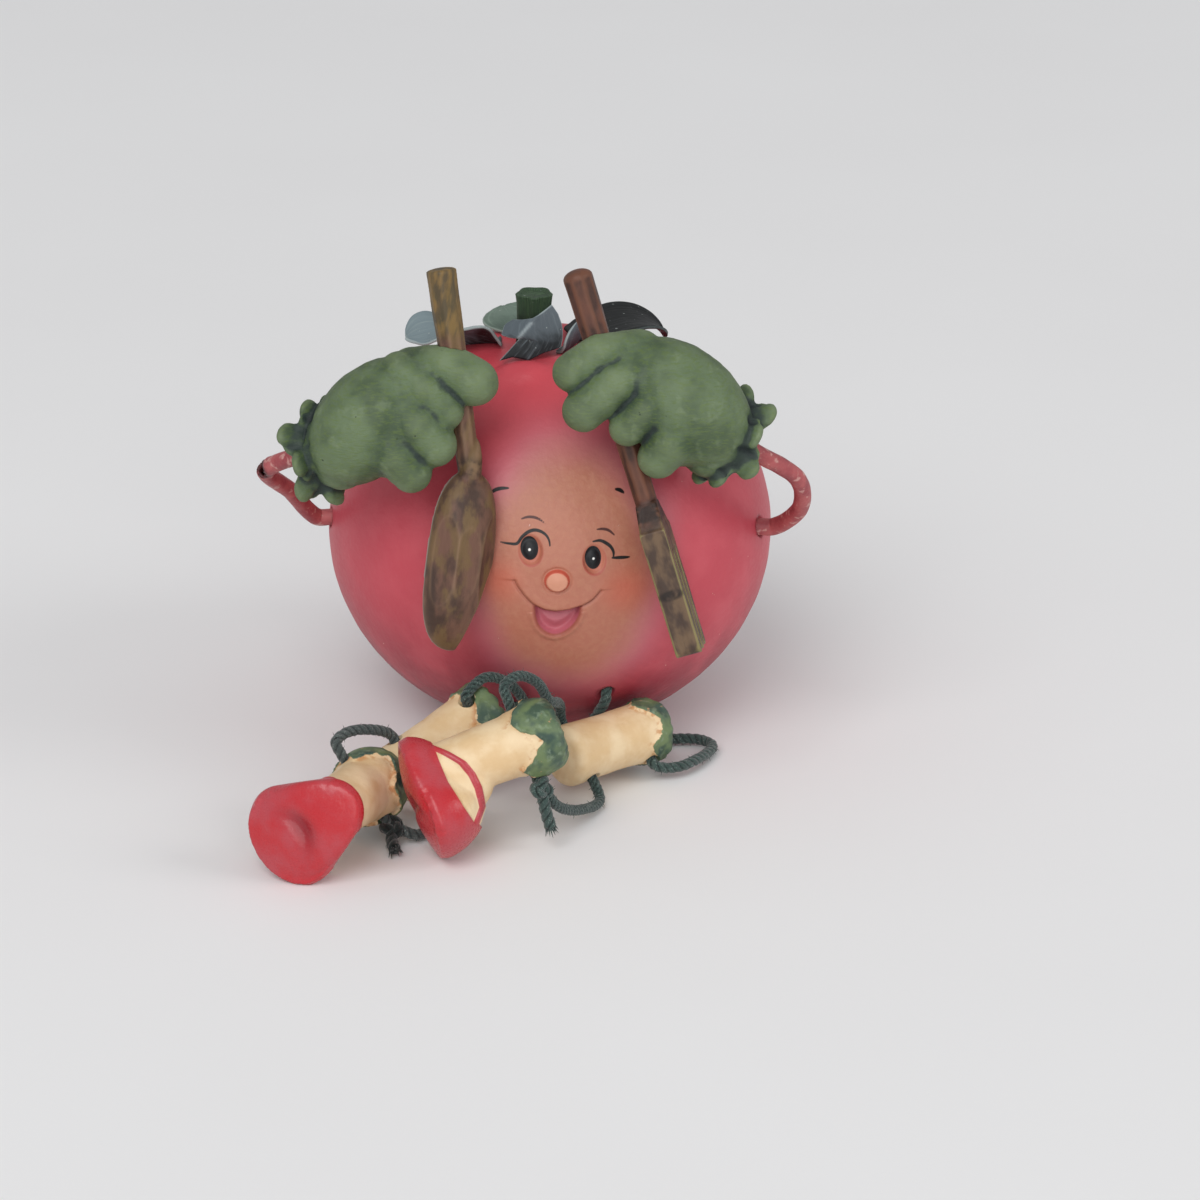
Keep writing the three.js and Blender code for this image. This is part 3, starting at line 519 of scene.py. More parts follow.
# %% Where the cords run
CORD_RADIUS = 0.65
CORD_STEP = 0.25
ROUTES = {
    "hip_cord_left": [
        (-4.3, -17.88, 10.5), (-4.2, -19.48, 9.3), (-4.06, -21.6, 7.72), (-2.96, -23.7, 8.62),
        (-3.16, -25.6, 11.02), (-4.86, -27, 13.62), (-7.46, -28.8, 15.02), (-9.73, -30.91, 13.5),
        (-9.53, -30.39, 12.4), (-9.02, -29.05, 9.57), (-8.51, -27.71, 6.75), (-8.31, -27.19, 5.65),
        (-8.05, -27.32, 5.05), (-7.99, -27.35, 4.93), (-7.91, -27.39, 4.75)],
    "hip_cord_right": [
        (6.87, -20.73, 13.85), (6.87, -21.33, 11.95), (6.87, -22.13, 9.42), (6.07, -21.83, 7.62),
        (5.17, -20.33, 5.22), (6.37, -17.93, 2.02), (10.47, -16.03, 0.92), (14.87, -14.73, 0.92),
        (18.47, -14.93, 0.92), (19.87, -16.73, 0.92), (17.08, -23.29, 1.55), (14.68, -25.09, 1.65),
        (12.68, -25.49, 2.25), (12.12, -24.82, 3.12), (10.68, -23.1, 5.36)],
    "knee_cord_left": [
        (-18.42, -43.24, 2.48), (-19.22, -42.78, 3.55), (-21.28, -41.6, 6.3), (-23.34, -40.41, 9.05),
        (-24.14, -39.95, 10.12), (-24.74, -39.05, 11.12), (-23.34, -37.15, 11.62), (-20.54, -35.35, 11.12),
        (-18.51, -33.68, 9.7), (-17.9, -33.78, 8.63), (-16.35, -34.03, 5.89), (-14.79, -34.29, 3.14),
        (-14.19, -34.39, 2.07), (-13.29, -35.39, 1.27), (-12.79, -37.99, 1.17), (-15.12, -42.84, 0.98),
        (-17.12, -43.24, 1.78)],
    "knee_cord_right": [
        (-1, -44.25, 8.3), (-1.49, -43.69, 9.5), (-2.74, -42.26, 12.6), (-4, -40.84, 15.7),
        (-4.49, -40.28, 16.91), (-4.99, -39.28, 18.31), (-3.49, -37.58, 18.91), (-1.29, -35.48, 17.31),
        (0.11, -33.08, 13.91), (1.35, -27.74, 11.01), (1.55, -27.14, 8.81), (2.11, -27.81, 7.94),
        (3.55, -29.52, 5.7), (4.99, -31.24, 3.46), (5.55, -31.91, 2.59), (6.15, -33.31, 1.19),
        (3.4, -39.25, 2.5), (1.2, -42.85, 4.7), (-0.1, -44.15, 6.86)],
}
KNOTS = {
    "hip_cord_left": [(-7.91, -27.39, 4.75), (-7.91, -28.09, 3.85), (-7.81, -28.79, 3.15)],
    "knee_cord_left": [(-18.12, -43.44, 2.18), (-18.12, -45.04, 1.28), (-17.72, -46.84, 0.98)],
    "knee_cord_right": [(-0.6, -44.65, 7.7), (-0.2, -45.05, 5.3), (0.4, -45.25, 3.1)],
}
BENDS = {
    "hip_cord_left": ("figure", "thigh_left", (-3.2, -23.5, 9), (-8, -29, 10)),
    "hip_cord_right": ("figure", "thigh_right", (6.5, -21.5, 6), (13, -25, 3)),
    "knee_cord_left": ("thigh_left", "shin_left", (-17.5, -34.5, 6), (-20.8, -41, 6)),
    "knee_cord_right": ("thigh_right", "shin_right", (2.4, -29.5, 8), (-1.6, -42, 10)),
}
STRINGS = {
    "hip_cord_left": (green_string, 4, 2.6, True),
    "hip_cord_right": (green_string, 3, 2.8, False),
    "knee_cord_left": (grey_string, 3, 2.6, False),
    "knee_cord_right": (green_string, 4, 2.6, True),
}
print("points on each cord:", [len(points) for points in ROUTES.values()])

# %% Lay the cords
KNOT_SIZE = 0.33
KNOT_STEPS = 90
KNOT_STRANDS = 3
KNOT_PITCH = 3.2
KNOT_RADIUS = 0.62
TAIL_RADIUS = 0.72
TAIL_FRAY = 22


def trefoil(t):
    return Vector((math.sin(t) + 2 * math.sin(2 * t), math.cos(t) - 2 * math.cos(2 * t), -math.sin(3 * t)))


def knot_mesh(name, tail):
    """A tight overhand knot, as a trefoil of string, with its cut tail"""
    loop = [trefoil(2 * math.pi * i / KNOT_STEPS) for i in range(KNOT_STEPS + 1)]
    aim = (Vector(tail[1]) - Vector(tail[0])).to_track_quat("X", "Z").to_matrix()
    knot = [Vector(tail[0]) + aim @ (p * KNOT_SIZE) for p in loop]
    bm = bmesh.new()
    tail_route = smooth_route(tail, CORD_STEP)
    for route, radius, fray in ((knot, KNOT_RADIUS, 0), (tail_route, TAIL_RADIUS, TAIL_FRAY)):
        string = string_mesh(name, route, radius, KNOT_STRANDS, KNOT_PITCH, False)
        part = with_hairs(string, route, radius, fray)
        bm.from_mesh(part)
        bpy.data.meshes.remove(part)
    return to_mesh(bm, name)


for name, points in ROUTES.items():
    finish, strands, pitch, plaited = STRINGS[name]
    first, second, start, end = BENDS[name]
    route = smooth_route(points, CORD_STEP)
    string = with_hairs(string_mesh(name, route, CORD_RADIUS, strands, pitch, plaited), route, CORD_RADIUS)
    cord = piece(name + "_string", string, [finish], nodes=[name])
    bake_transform(cord, first, second, start=Vector(start) * MM, end=Vector(end) * MM)
    if name in KNOTS:
        knot_finish = black_string if name == "knee_cord_left" else finish
        knot = knot_mesh(name, KNOTS[name])
        piece(name.replace("cord", "knot"), knot, [knot_finish], second)
    path = [tuple(p * MM) for p in route]
    length = route_length(route) * MM
    print(name, "length", round(length * 1000, 1), "mm")

# %% [markdown]
# ## Cast forms that grow into each other
# Gloves, lower legs and carved sticks are soft unions: a palm, fingers and a cuff with no seam between
# them. Modelling that as one net of faces is slow, so simple closed forms are laid over each other, a voxel
# remesh fuses them into one skin, and a few rounds of smoothing soften the valleys. Holes are cut after
# that with a boolean, so that they stay crisp.

# %% Fusing and cutting
def temporary(mesh):
    obj = bpy.data.objects.new("work", mesh)
    bpy.context.collection.objects.link(obj)
    return obj


def settled(obj):
    """The mesh of an object with its modifiers applied, and the object cleared away"""
    seen = obj.evaluated_get(bpy.context.evaluated_depsgraph_get())
    mesh = bpy.data.meshes.new_from_object(seen)
    bpy.data.objects.remove(obj)
    return mesh


def fused(bm, voxel, rounds):
    obj = temporary(to_mesh(bm, "forms"))
    skin = obj.modifiers.new("skin", "REMESH")
    skin.mode = "VOXEL"
    skin.voxel_size = voxel
    soften = obj.modifiers.new("soften", "SMOOTH")
    soften.factor = 0.5
    soften.iterations = rounds
    return settled(obj)


def cut(mesh, cutters):
    """The mesh less the cutters, each a bmesh"""
    obj = temporary(mesh)
    tools = []
    for cutter in cutters:
        tools.append(temporary(to_mesh(cutter, "cutter")))
        hole = obj.modifiers.new("hole", "BOOLEAN")
        hole.operation = "DIFFERENCE"
        hole.solver = "EXACT"
        hole.object = tools[-1]
    result = settled(obj)
    for tool in tools:
        bpy.data.objects.remove(tool)
    return result


def frame_of(origin, along, towards):
    """A frame with its y along one direction and its z as near as can be to another"""
    y = Vector(along).normalized()
    x = y.cross(Vector(towards)).normalized()
    turn = Matrix((x, y, x.cross(y))).transposed()
    return Matrix.Translation(Vector(origin)) @ turn.to_4x4()


def ball(bm, place, size, around=28, down=18):
    scale = Matrix.Diagonal(Vector(size)).to_4x4()
    bmesh.ops.create_uvsphere(bm, u_segments=around, v_segments=down, radius=0.5, matrix=place @ scale)


def bar(bm, first, last, radius, end_radius=None, sides=24):
    """A straight round bar between two points"""
    first, last = Vector(first), Vector(last)
    turn = (last - first).to_track_quat("Z", "Y").to_matrix().to_4x4()
    place = Matrix.Translation((first + last) / 2) @ turn
    bmesh.ops.create_cone(bm, cap_ends=True, segments=sides, radius1=radius, radius2=end_radius or radius,
                          depth=(last - first).length, matrix=place)


def drill(first, last, radius):
    bm = bmesh.new()
    bar(bm, first, last, radius, sides=20)
    return bm


def hollows(mesh, rounds):
    """How far each point lies below the smoothed surface round it: above 0 in creases, below on ridges"""
    start = points_of(mesh)
    pairs = np.empty(len(mesh.edges) * 2, np.int32)
    mesh.edges.foreach_get("vertices", pairs)
    a, b = pairs.reshape(-1, 2).T
    ends = np.concatenate([a, b])
    count = np.bincount(ends, minlength=len(start))[:, None]
    smooth = start.copy()
    for _ in range(rounds):
        beside = np.concatenate([smooth[b], smooth[a]])
        total = [np.bincount(ends, beside[:, k], len(start)) for k in range(3)]
        smooth = np.stack(total, 1) / np.maximum(count, 1)
    return ((smooth - start) * numbers(mesh.vertex_normals, "vector", 3)).sum(1)


print("made: fused, cut and hollows; ball, bar and drill, all in millimetres")

# %% [markdown]
# ## The tomato
# The body is one casting: a fat egg, flat underneath and dipped at the crown. Turning a half outline about
# the upright axis is what a lathe does, and spin does the same. The face needs finer faces than the rest, so
# only that area is subdivided, and then the nose, eye sockets and mouth are pressed into it.

# %% Body: spin the outline
BODY_RADIUS = 27.25
BODY_HALF_HEIGHT = 24.69
BODY_MIDDLE = 23.31
BASE_RADIUS = 9
CROWN_DIP = 1.8
CROWN_DIP_RADIUS = 8.5
OUTLINE_STEPS = 96
SPIN_STEPS = 160


def body_outline():
    """Half the outline from the middle of the base to the crown"""
    start = math.asin(BASE_RADIUS / BODY_RADIUS)
    outline = [(0, 0, 0), (BASE_RADIUS / 2, 0, 0)]
    for i in range(OUTLINE_STEPS + 1):
        turn = start + (math.pi - start) * i / OUTLINE_STEPS
        radius = BODY_RADIUS * math.sin(turn)
        height = BODY_MIDDLE - BODY_HALF_HEIGHT * math.cos(turn)
        if turn > math.pi / 2 and radius < CROWN_DIP_RADIUS:
            height -= CROWN_DIP * (1 + math.cos(math.pi * radius / CROWN_DIP_RADIUS)) / 2
        outline.append((radius, 0, height))
    return outline


bm = spun(body_outline(), (0, 0, 1), SPIN_STEPS)
FACE_AREAS = [((-9, 12), (16, 39)), ((-8.6, 11.4), (17, 38.4)), ((-4.8, 8.6), (18.8, 33))]
for (left, right), (low, high) in FACE_AREAS:
    near = {v for v in bm.verts if v.co.y < 0 and left < v.co.x < right and low < v.co.z < high}
    inner = [e for e in bm.edges if set(e.verts) <= near]
    bmesh.ops.subdivide_edges(bm, edges=inner, cuts=1, use_grid_fill=True)
body_mesh = to_mesh(bm, "tomato_body")
print("body has", len(body_mesh.vertices), "points")

# %% [markdown]
# ### The face
# Eyes, brows and lashes are brush strokes on shallow relief: two sockets, a button nose and an open smile.
# Each stroke is kept as a few points on the front of the body. The distance from a point of the mesh to
# a stroke is a number that the mesh can carry, and the paint then has a crisp edge at any size.

# %% Face: the drawing
STROKES = {
    "left_lid": [(-5.64, 30.92), (-4.57, 30.83), (-3.63, 30.88), (-3.04, 31.62), (-2.21, 32.25),
                 (-1.5, 32.43), (-0.79, 32.28), (-0.2, 31.9), (0.15, 31.35), (0.27, 30.69)],
    "right_lid": [(5.34, 31.0), (6.17, 31.04), (6.88, 30.7), (7.47, 30.2), (7.77, 29.6), (7.77, 29.03)],
    "right_lash": [(7.6, 28.95), (8.54, 28.89), (9.72, 28.79)],
    "left_fold": [(-6.96, 35.78), (-6.37, 36.28), (-5.65, 36.54), (-4.59, 36.66)],
    "right_fold": [(7.95, 36.28), (8.54, 36.11), (9.01, 35.76)],
}
BROWS = {
    "left_brow": [(-3.15, 33.56), (-2.45, 33.79), (-1.74, 33.81), (-1.03, 33.61), (-0.32, 33.14)],
    "right_brow": [(5.82, 32.28), (6.52, 32.27), (7.23, 32.04), (7.88, 31.48)],
}
SMILE = [(-3.93, 26.53), (-3.52, 25.7), (-2.82, 24.75), (-1.87, 23.78), (-0.58, 23.04), (0.96, 22.78),
         (2.5, 22.93), (4.04, 23.37), (5.22, 23.98), (5.93, 24.68), (6.29, 25.14)]
MOUTH = [(-1.64, 23.53), (-0.34, 22.91), (0.96, 22.71), (2.62, 22.93), (3.92, 23.37), (3.8, 22.42),
         (3.27, 21.26), (2.26, 20.23), (0.95, 19.65), (-0.12, 19.93), (-1.06, 20.8), (-1.53, 22.12)]
EYES = [((-2.17, 30.33), (1.06, 1.4)), ((5.34, 29.1), (0.97, 1.4))]
SOCKETS = [((-2.02, 30.14), (1.42, 1.76)), ((5.52, 28.9), (1.33, 1.74))]
GLINTS = [((-2.15, 30.21), 0.16), ((5.4, 29.02), 0.14)]
NOSE = ((1.1, 26.6), (1.42, 1.27))
EYE_LEAN = math.radians(6)
INK_HALF = 0.19
BROW_HALF = 0.15
SMILE_HALF = 0.12
NOSE_RISE = 0.55
NOSE_DOME = 0.12
NOSE_GROOVE = 0.16
SOCKET_DEPTH = 0.42
EYE_RISE = 0.3
MOUTH_DEPTH = 1.15
TONGUE_RISE = 0.3
LIP_TOP = 22.6
LIP_RISE = 0.14
SMILE_DEPTH = 0.22
CHEEK_RISE = 0.16
print("strokes:", len(STROKES) + len(BROWS), "outline of the mouth:", len(MOUTH), "points")

# %% Face: distances
def drawn(points):
    """A smooth line through points given across and up"""
    return [(p.x, p.z) for p in smooth_route([(x, 0, z) for x, z in points], 0.2)]


def away(spots, line, half=0.0):
    """Distance to a drawn line, less half its width, which thins towards both ends"""
    best = np.full(len(spots), 9.0)
    pairs = list(zip(line, line[1:]))
    for i, (a, b) in enumerate(pairs):
        a, run = np.array(a), np.array(b) - np.array(a)
        t = np.clip((spots - a) @ run / max(run @ run, 1e-9), 0, 1)
        width = half * (0.4 + 0.6 * np.abs(np.sin(math.pi * (i + t) / len(pairs))) ** 0.7)
        best = np.minimum(best, np.linalg.norm(spots - a - t[:, None] * run, axis=1) - width)
    return best


def oval(spots, centre, reach, lean=0.0):
    """Signed distance to an oval, below 0 inside it"""
    x, z = (spots - np.array(centre)).T
    x, z = x * math.cos(lean) + z * math.sin(lean), z * math.cos(lean) - x * math.sin(lean)
    return (np.hypot(x / reach[0], z / reach[1]) - 1) * min(reach)


def within(spots, ring):
    """Signed distance to a closed outline, below 0 inside it"""
    inside = np.zeros(len(spots), bool)
    for (ax, az), (bx, bz) in zip(ring, ring[1:] + ring[:1]):
        if az != bz:
            crossing = (az > spots[:, 1]) != (bz > spots[:, 1])
            inside ^= crossing & (spots[:, 0] < (bx - ax) * (spots[:, 1] - az) / (bz - az) + ax)
    return away(spots, ring + ring[:1]) * np.where(inside, -1, 1)


mouth_ring = MOUTH[:5] + drawn(MOUTH[4:] + MOUTH[:1])[1:-1]
print("the mouth's lower edge, rounded:", len(mouth_ring), "points")

# %% Face: relief
def face_relief(spots):
    """How far the face stands out of the body at each spot"""
    nose = oval(spots, *NOSE)
    relief = NOSE_RISE * ease(-nose, -0.12, 0.25) + NOSE_DOME * ease(-nose, 0.2, 1.2)
    relief -= NOSE_GROOVE * np.exp(-((nose - 0.18) / 0.16) ** 2)
    for (centre, reach), (eye_centre, eye_reach) in zip(SOCKETS, EYES):
        socket = oval(spots, centre, reach, EYE_LEAN)
        eye = oval(spots, eye_centre, eye_reach, EYE_LEAN)
        relief -= SOCKET_DEPTH * ease(-socket, -0.1, 0.45)
        relief += EYE_RISE * ease(-eye, -0.05, 0.7)
    mouth = within(spots, mouth_ring)
    relief -= MOUTH_DEPTH * ease(-mouth, -0.08, 0.4) - TONGUE_RISE * ease(-mouth, 0.5, 1.6)
    relief += LIP_RISE * np.exp(-((mouth - 0.35) / 0.3) ** 2) * (spots[:, 1] < LIP_TOP)
    smile = away(spots, drawn(SMILE))
    under = np.interp(spots[:, 0], [p[0] for p in SMILE], [p[1] for p in SMILE]) - spots[:, 1]
    relief -= SMILE_DEPTH * np.exp(-(smile / 0.2) ** 2)
    relief += CHEEK_RISE * ease(-under, 0.0, 0.2) * np.exp(-(smile / 1.4) ** 2)
    return relief


points = points_of(body_mesh)
round_part = (points[:, 2] > 0.01) & (np.hypot(points[:, 0], points[:, 1]) > CROWN_DIP_RADIUS)
egg_size = (BODY_RADIUS, BODY_RADIUS, BODY_HALF_HEIGHT)
centred = (points - (0, 0, BODY_MIDDLE)) / egg_size
on_egg = centred / np.linalg.norm(centred, axis=1)[:, None]
points[round_part] = (on_egg * egg_size + (0, 0, BODY_MIDDLE))[round_part]
outward = on_egg / egg_size
outward /= np.linalg.norm(outward, axis=1)[:, None]
FACE_MIDDLE = (1.5, 28)
FACE_REACH = 11
FACE_FRONT = -15
off_face = np.abs(points[:, [0, 2]] - FACE_MIDDLE).max(1)
face = (points[:, 1] < FACE_FRONT) & (off_face < FACE_REACH)
points[face] += outward[face] * face_relief(points[face][:, [0, 2]])[:, None]
CUSHION_PLACE = (-3.2, -9.0)
CUSHION_REACH = (4.8, 2.6)
CUSHION_RISE = 0.8
CROWN_HEIGHTS = (40, 45)
CROWN_LUMPS = 0.25
SKIN_LUMPS = 0.05
crown = ease(points[:, 2], *CROWN_HEIGHTS)
lumps = CROWN_LUMPS * ripple(points, 0.22, 5.0) * crown
cushion = np.hypot(*((points[:, :2] - CUSHION_PLACE) / CUSHION_REACH).T)
lumps += CUSHION_RISE * (1 - ease(cushion, 0.3, 1.0)) * crown
lumps += SKIN_LUMPS * ripple(points, 0.35, 1.0)
points += outward * (lumps * (points[:, 2] > 0.5))[:, None]
move_points(body_mesh, points)
print("face relief over", int(face.sum()), "points")

# %% Body: arm and cord holes
ARM_HOLE = 1.35
CORD_HOLE = 1.05
HOLES = [((-21.3, -4, 25.91), (-30, -4, 25.91), ARM_HOLE),
         ((20.1, -8.6, 26.41), (30, -8.6, 26.41), ARM_HOLE),
         ((-4.35, -17.08, 11.1), (-3.85, -25.08, 5.1), CORD_HOLE),
         ((6.87, -20.43, 14.81), (6.87, -23.44, 5.27), CORD_HOLE)]
body_mesh = cut(body_mesh, [drill(*hole) for hole in HOLES])
points = points_of(body_mesh)
spots = points[:, [0, 2]]
MARKS_FRONT = -12
FAR = 3
front = points[:, 1] < MARKS_FRONT
marks = {
    "ink": [away(spots, drawn(s), INK_HALF) for s in STROKES.values()],
    "brow": [away(spots, drawn(s), BROW_HALF) for s in BROWS.values()],
    "eye": [oval(spots, c, r, EYE_LEAN) for c, r in EYES],
    "socket": [oval(spots, c, r, EYE_LEAN) for c, r in SOCKETS],
    "glint": [oval(spots, c, (r, r)) for c, r in GLINTS],
    "mouth": [within(spots, mouth_ring)],
    "smile": [away(spots, drawn(SMILE), SMILE_HALF)],
    "nose": [oval(spots, *NOSE)],
}
for name, distances in marks.items():
    nearest = np.clip(np.minimum.reduce(distances), -FAR, FAR)
    carry(body_mesh, **{name: np.where(front, nearest, FAR)})
print("body holes:", len(HOLES))

# %% [markdown]
# ### Painting the tomato
# The real paint was sprayed: pinkish red all over, with a flesh coloured patch that fades out through
# mauve, and rosy cheeks. The body is painted darker underneath as painted shade. Soft ovals in Object
# coordinates do the spraying, and the carried distances do the brushwork, with painted shade in the smile,
# the mouth and round the sockets. Pale chips and dark specks show that it has been handled.

# %% Tomato paint
tomato_paint, shader, place = new_finish("tomato_paint", Specular_IOR_Level=0.45)
_, y, z = axes(place)
drift = cloud(place, 0.16)
fine = cloud(place, 1.4, 5.0)
patch = span(place, (2.2, 0.0, 27.0), (11.2, 0.0, 14.6)) + (drift - 0.5) * 0.2
facing = 1 - ramp(y, -19.0, -9.0)
skin = coats(mix(ramp(z, 14.0, 34.0), "b26d59", "b0705a"), (ramp(fine, 0.35, 0.75) * 0.3, "bf876b"))
colour = coats(
    # Darker towards the bottom as painted shade of the underside; a redder coat towards the crown.
    mix(ramp(z, 2.0, 24.0), "8f2c3a", "bf4552"),
    (ramp(drift, 0.42, 0.7) * 0.6, "ca5661"),
    (ramp(z, 36.0, 46.0) * 0.7, "cc4650"),
    ((1 - ramp(patch, 0.8, 1.36)) * facing * 0.85, "bd727c"),
    ((1 - ramp(patch, 0.68, 1.12)) * facing, skin),
)
for cheek, reach in (((-6.0, 0.0, 26.4), 3.6), ((9.4, 0.0, 25.0), 4.1)):
    blush = (1 - ramp(span(place, cheek, (reach, 0.0, reach * 0.95)), 0.0, 1.15)) * facing
    colour = mix(blush * 0.6, colour, "c8634e")
ink, brow, eye, socket, glint, mouth, smile, nose = (painted(place, name) for name in marks)
socket_shade_below = 1 - ramp(z, 28.0, 30.5)
# Lighter at the middle of the tongue and darker towards the edges of the mouth: painted shade inside it.
tongue_with_shade = mix(ramp(span(place, (1.1, 0.0, 21.0), (3.2, 0.0, 2.6)), 0.6, 1.2), "b9626d", "a5505a")
pupil = 1 - ramp(eye, -0.05, 0.04)
chips = ramp(cloud(place, 0.9, 6.0), 0.735, 0.76)
specks = ramp(cloud(place, 1.9, 2.0), 0.8, 0.83)
colour = coats(
    colour,
    # A soft band and a thin dark line along the smile: painted shade in its groove.
    ((1 - ramp(smile, -0.1, 0.4)) * 0.4, "a05c48"),
    ((1 - ramp(smile, -0.12, 0.03)) * 0.7, "74392f"),
    ((1 - ramp(socket, -0.35, 0.1)) * 0.7, "bd6a55"),
    # A darker ring at the socket's edge, heavier below the eyes: painted shade of the socket rim.
    (between(socket, -0.16, 0.0, 0.02, 0.2) * (socket_shade_below * 0.5 + 0.25), "a8483c"),
    (1 - ramp(nose, -0.1, 0.05), "cf9076"),
    (between(nose, -0.2, -0.06, 0.02, 0.14) * 0.85, "c9513f"),
    (1 - ramp(mouth, -0.16, 0.0), tongue_with_shade),
    (between(mouth, -0.2, -0.02, 0.02, 0.4) * 0.7, "96493c"),
    (1 - ramp(brow, -0.04, 0.05), "4a211c"),
    (1 - ramp(ink, -0.04, 0.05), "0a0607"),
    (pupil, "0e1116"),
    (1 - ramp(glint, -0.06, 0.06), "f4f2ee"),
    (chips * 0.7, "e3b3a8"),
    (specks * 0.6, "5c1f26"),
)
roughness = fine * 0.16 + drift * 0.1 + 0.33 + pupil * 0.1
dress(shader, colour, roughness, fine * 0.5 + drift - chips * 0.4, 0.12)
piece("tomato_body_painted", body_mesh, [tomato_paint], "figure", ["tomato_body"])

# %% [markdown]
# ## The crown
# Five thin sepals curl away from a stubby stem. Each starts as a flat grid: its outline narrows to a
# leaf, its edges cup upwards, and its spine climbs and then rolls over. A fold raises one edge, and a twist
# turns the blade. Solidify gives the thin sheet its two sides, each in its own paint, and subdivision
# rounds the rim. Sides that sit in shade are painted near black, as painted shade.

# %% Leaf paint
def leaf_finish(name, deep, mid, pale, rim):
    """Leaf paint: streaked, worn pale at its edges and tip, with a painted highlight along the fold"""
    material, shader, place = new_finish(name, Specular_IOR_Level=0.4)
    leaf = painted(place, "leaf", "Vector")
    along, across, crease = axes(leaf)
    streak = cloud(leaf * (1.4, 7.0, 1.0), 1.0, 4.0)
    blotch = cloud(place, 0.7, 5.0)
    # Worn pale at the edges and tip; the same pale paint along the fold is a painted highlight.
    edge = ramp(higher(across, -1 * across), 0.94, 1.0)
    worn = higher(higher(edge, ramp(along, 0.96, 1.0)), crease)
    colour = coats(
        # Darker towards the root: partly the leaf's own paint and partly painted shade where it meets the
        # crown.
        mix(ramp(along + (blotch - 0.5) * 0.8, 0.1, 0.75), deep, mid),
        (ramp(streak, 0.5, 0.75) * 0.5, pale),
        (worn * 0.6, rim),
        (ramp(cloud(place, 2.2, 4.0), 0.7, 0.74) * 0.7, "c3cbc6"),
    )
    dress(shader, colour, blotch * 0.2 + 0.42, streak + blotch * 0.5, 0.1)
    return material


leaf_pale = leaf_finish("leaf_pale", "39464a", "76858a", "93a09f", "b4bfbd")
leaf_grey = leaf_finish("leaf_grey", "171d20", "566066", "727d83", "a9b4b6")
leaf_green = leaf_finish("leaf_green", "4c5d52", "6b7d70", "8d9f90", "9fada3")
# Near black for sepal faces that sit in shade: painted shade on the right sepal's cupped inside and the back
# sepal's underside.
leaf_shade_black = leaf_finish("leaf_shade_black", "030506", "070b0c", "151c1d", "465050")
# The left sepal's underside: near black at its root, partly painted shade.
leaf_edge = leaf_finish("leaf_edge", "0c1113", "75838a", "93a0a3", "a5b0b0")
print("leaf finishes:", [m.name for m in (leaf_pale, leaf_grey, leaf_green, leaf_shade_black, leaf_edge)])

# %% Sepals
CROWN_OFFSET = -1.8
SEPAL_THICKNESS = 0.45
SEPAL_CLIMB = 0.4
SPINE_STEPS = 60
SEPALS = {
    "front_right": dict(azimuth=-26, root=3.6, height=46.9, length=5.6, width=4.6, base=0.2, slope=66,
                        curl=12, cup=0.7),
    "right": dict(azimuth=22, root=4.6, height=47.6, length=13.4, width=9.6, base=0.07, slope=20, curl=-80,
                  cup=0.5, fold=1.4, full=0.6),
    "back": dict(azimuth=109, root=3.4, height=47.3, length=9.0, width=8.4, base=0.12, slope=9, curl=-14,
                 cup=0.4, fold=-1.2),
    "left": dict(azimuth=182, root=4.0, height=47.3, length=12.2, width=7.6, base=0.12, slope=32, curl=-76,
                 cup=0.2, twist=10.0, full=0.6),
}
LEAF_SIDES = {
    "front": (leaf_pale, leaf_grey),
    "front_right": (leaf_pale, leaf_grey),
    "right": (leaf_shade_black, leaf_shade_black),
    "back": (leaf_green, leaf_shade_black),
    "left": (leaf_pale, leaf_edge),
}
LEAF_WAVE = 0.25
LEAF_TIP = 0.06
CURL_LATE = 2.2
TWIST_TURN = 0.62


def sepal_mesh(name, root, height, length, width, base, slope, curl, cup, fold=0.0, twist=0.0, full=1.0):
    """A grid drawn to a leaf's outline along a spine that climbs and then curls"""
    bm = bmesh.new()
    bmesh.ops.create_grid(bm, x_segments=26, y_segments=18, size=0.5)
    spine = [Vector((root, 0, height))]
    tilts = []
    for i in range(SPINE_STEPS + 1):
        share = i / SPINE_STEPS
        tilts.append(math.radians(slope * min(1, share / SEPAL_CLIMB) + curl * share ** CURL_LATE))
        step = Vector((math.cos(tilts[-1]), 0, math.sin(tilts[-1]))) * (length / SPINE_STEPS)
        spine.append(spine[-1] + step)
    shares = []
    for vert in bm.verts:
        share, across = vert.co.x + 0.5, 2 * vert.co.y
        at = round(share * SPINE_STEPS)
        swell = abs(math.sin(math.pi * (base + (1 - base) * share))) ** full
        half = (LEAF_TIP + (1 - LEAF_TIP) * swell) * width / 2
        raised = (1 + math.copysign(across, fold * across)) / 2
        lift = (cup * across ** 2 + abs(fold) * raised ** 2) * 2 * half / width * share
        lift += LEAF_WAVE * math.sin(5 * share + 2.2 * across) * abs(across) * share
        lift += twist * across * 4 * share * (1 - share) * (TWIST_TURN - share)
        tilt = tilts[at]
        vert.co = spine[at] + Vector((-lift * math.sin(tilt), across * half, lift * math.cos(tilt)))
        shares.append((share, across, 0))
    mesh = to_mesh(bm, name)
    carry(mesh, leaf=np.array(shares))
    return mesh


def leaf_piece(side, mesh, place):
    """A sepal in place of its node, with a wall and a rounded rim"""
    node = "sepal_" + side
    sepal = piece(node + "_leaf", mesh, LEAF_SIDES[side], "figure", [node], place)
    wall = sepal.modifiers.new("wall", "SOLIDIFY")
    wall.thickness = SEPAL_THICKNESS * MM
    wall.offset = 0
    wall.material_offset = 1
    rounding = sepal.modifiers.new("rounding", "SUBSURF")
    rounding.levels = rounding.render_levels = 1


for side, shape in SEPALS.items():
    shape = dict(shape)
    turn = turned(shape.pop("azimuth"), "Z")
    leaf_piece(side, sepal_mesh(side, **shape), Matrix.Translation((CROWN_OFFSET, 0, 0)) @ turn)
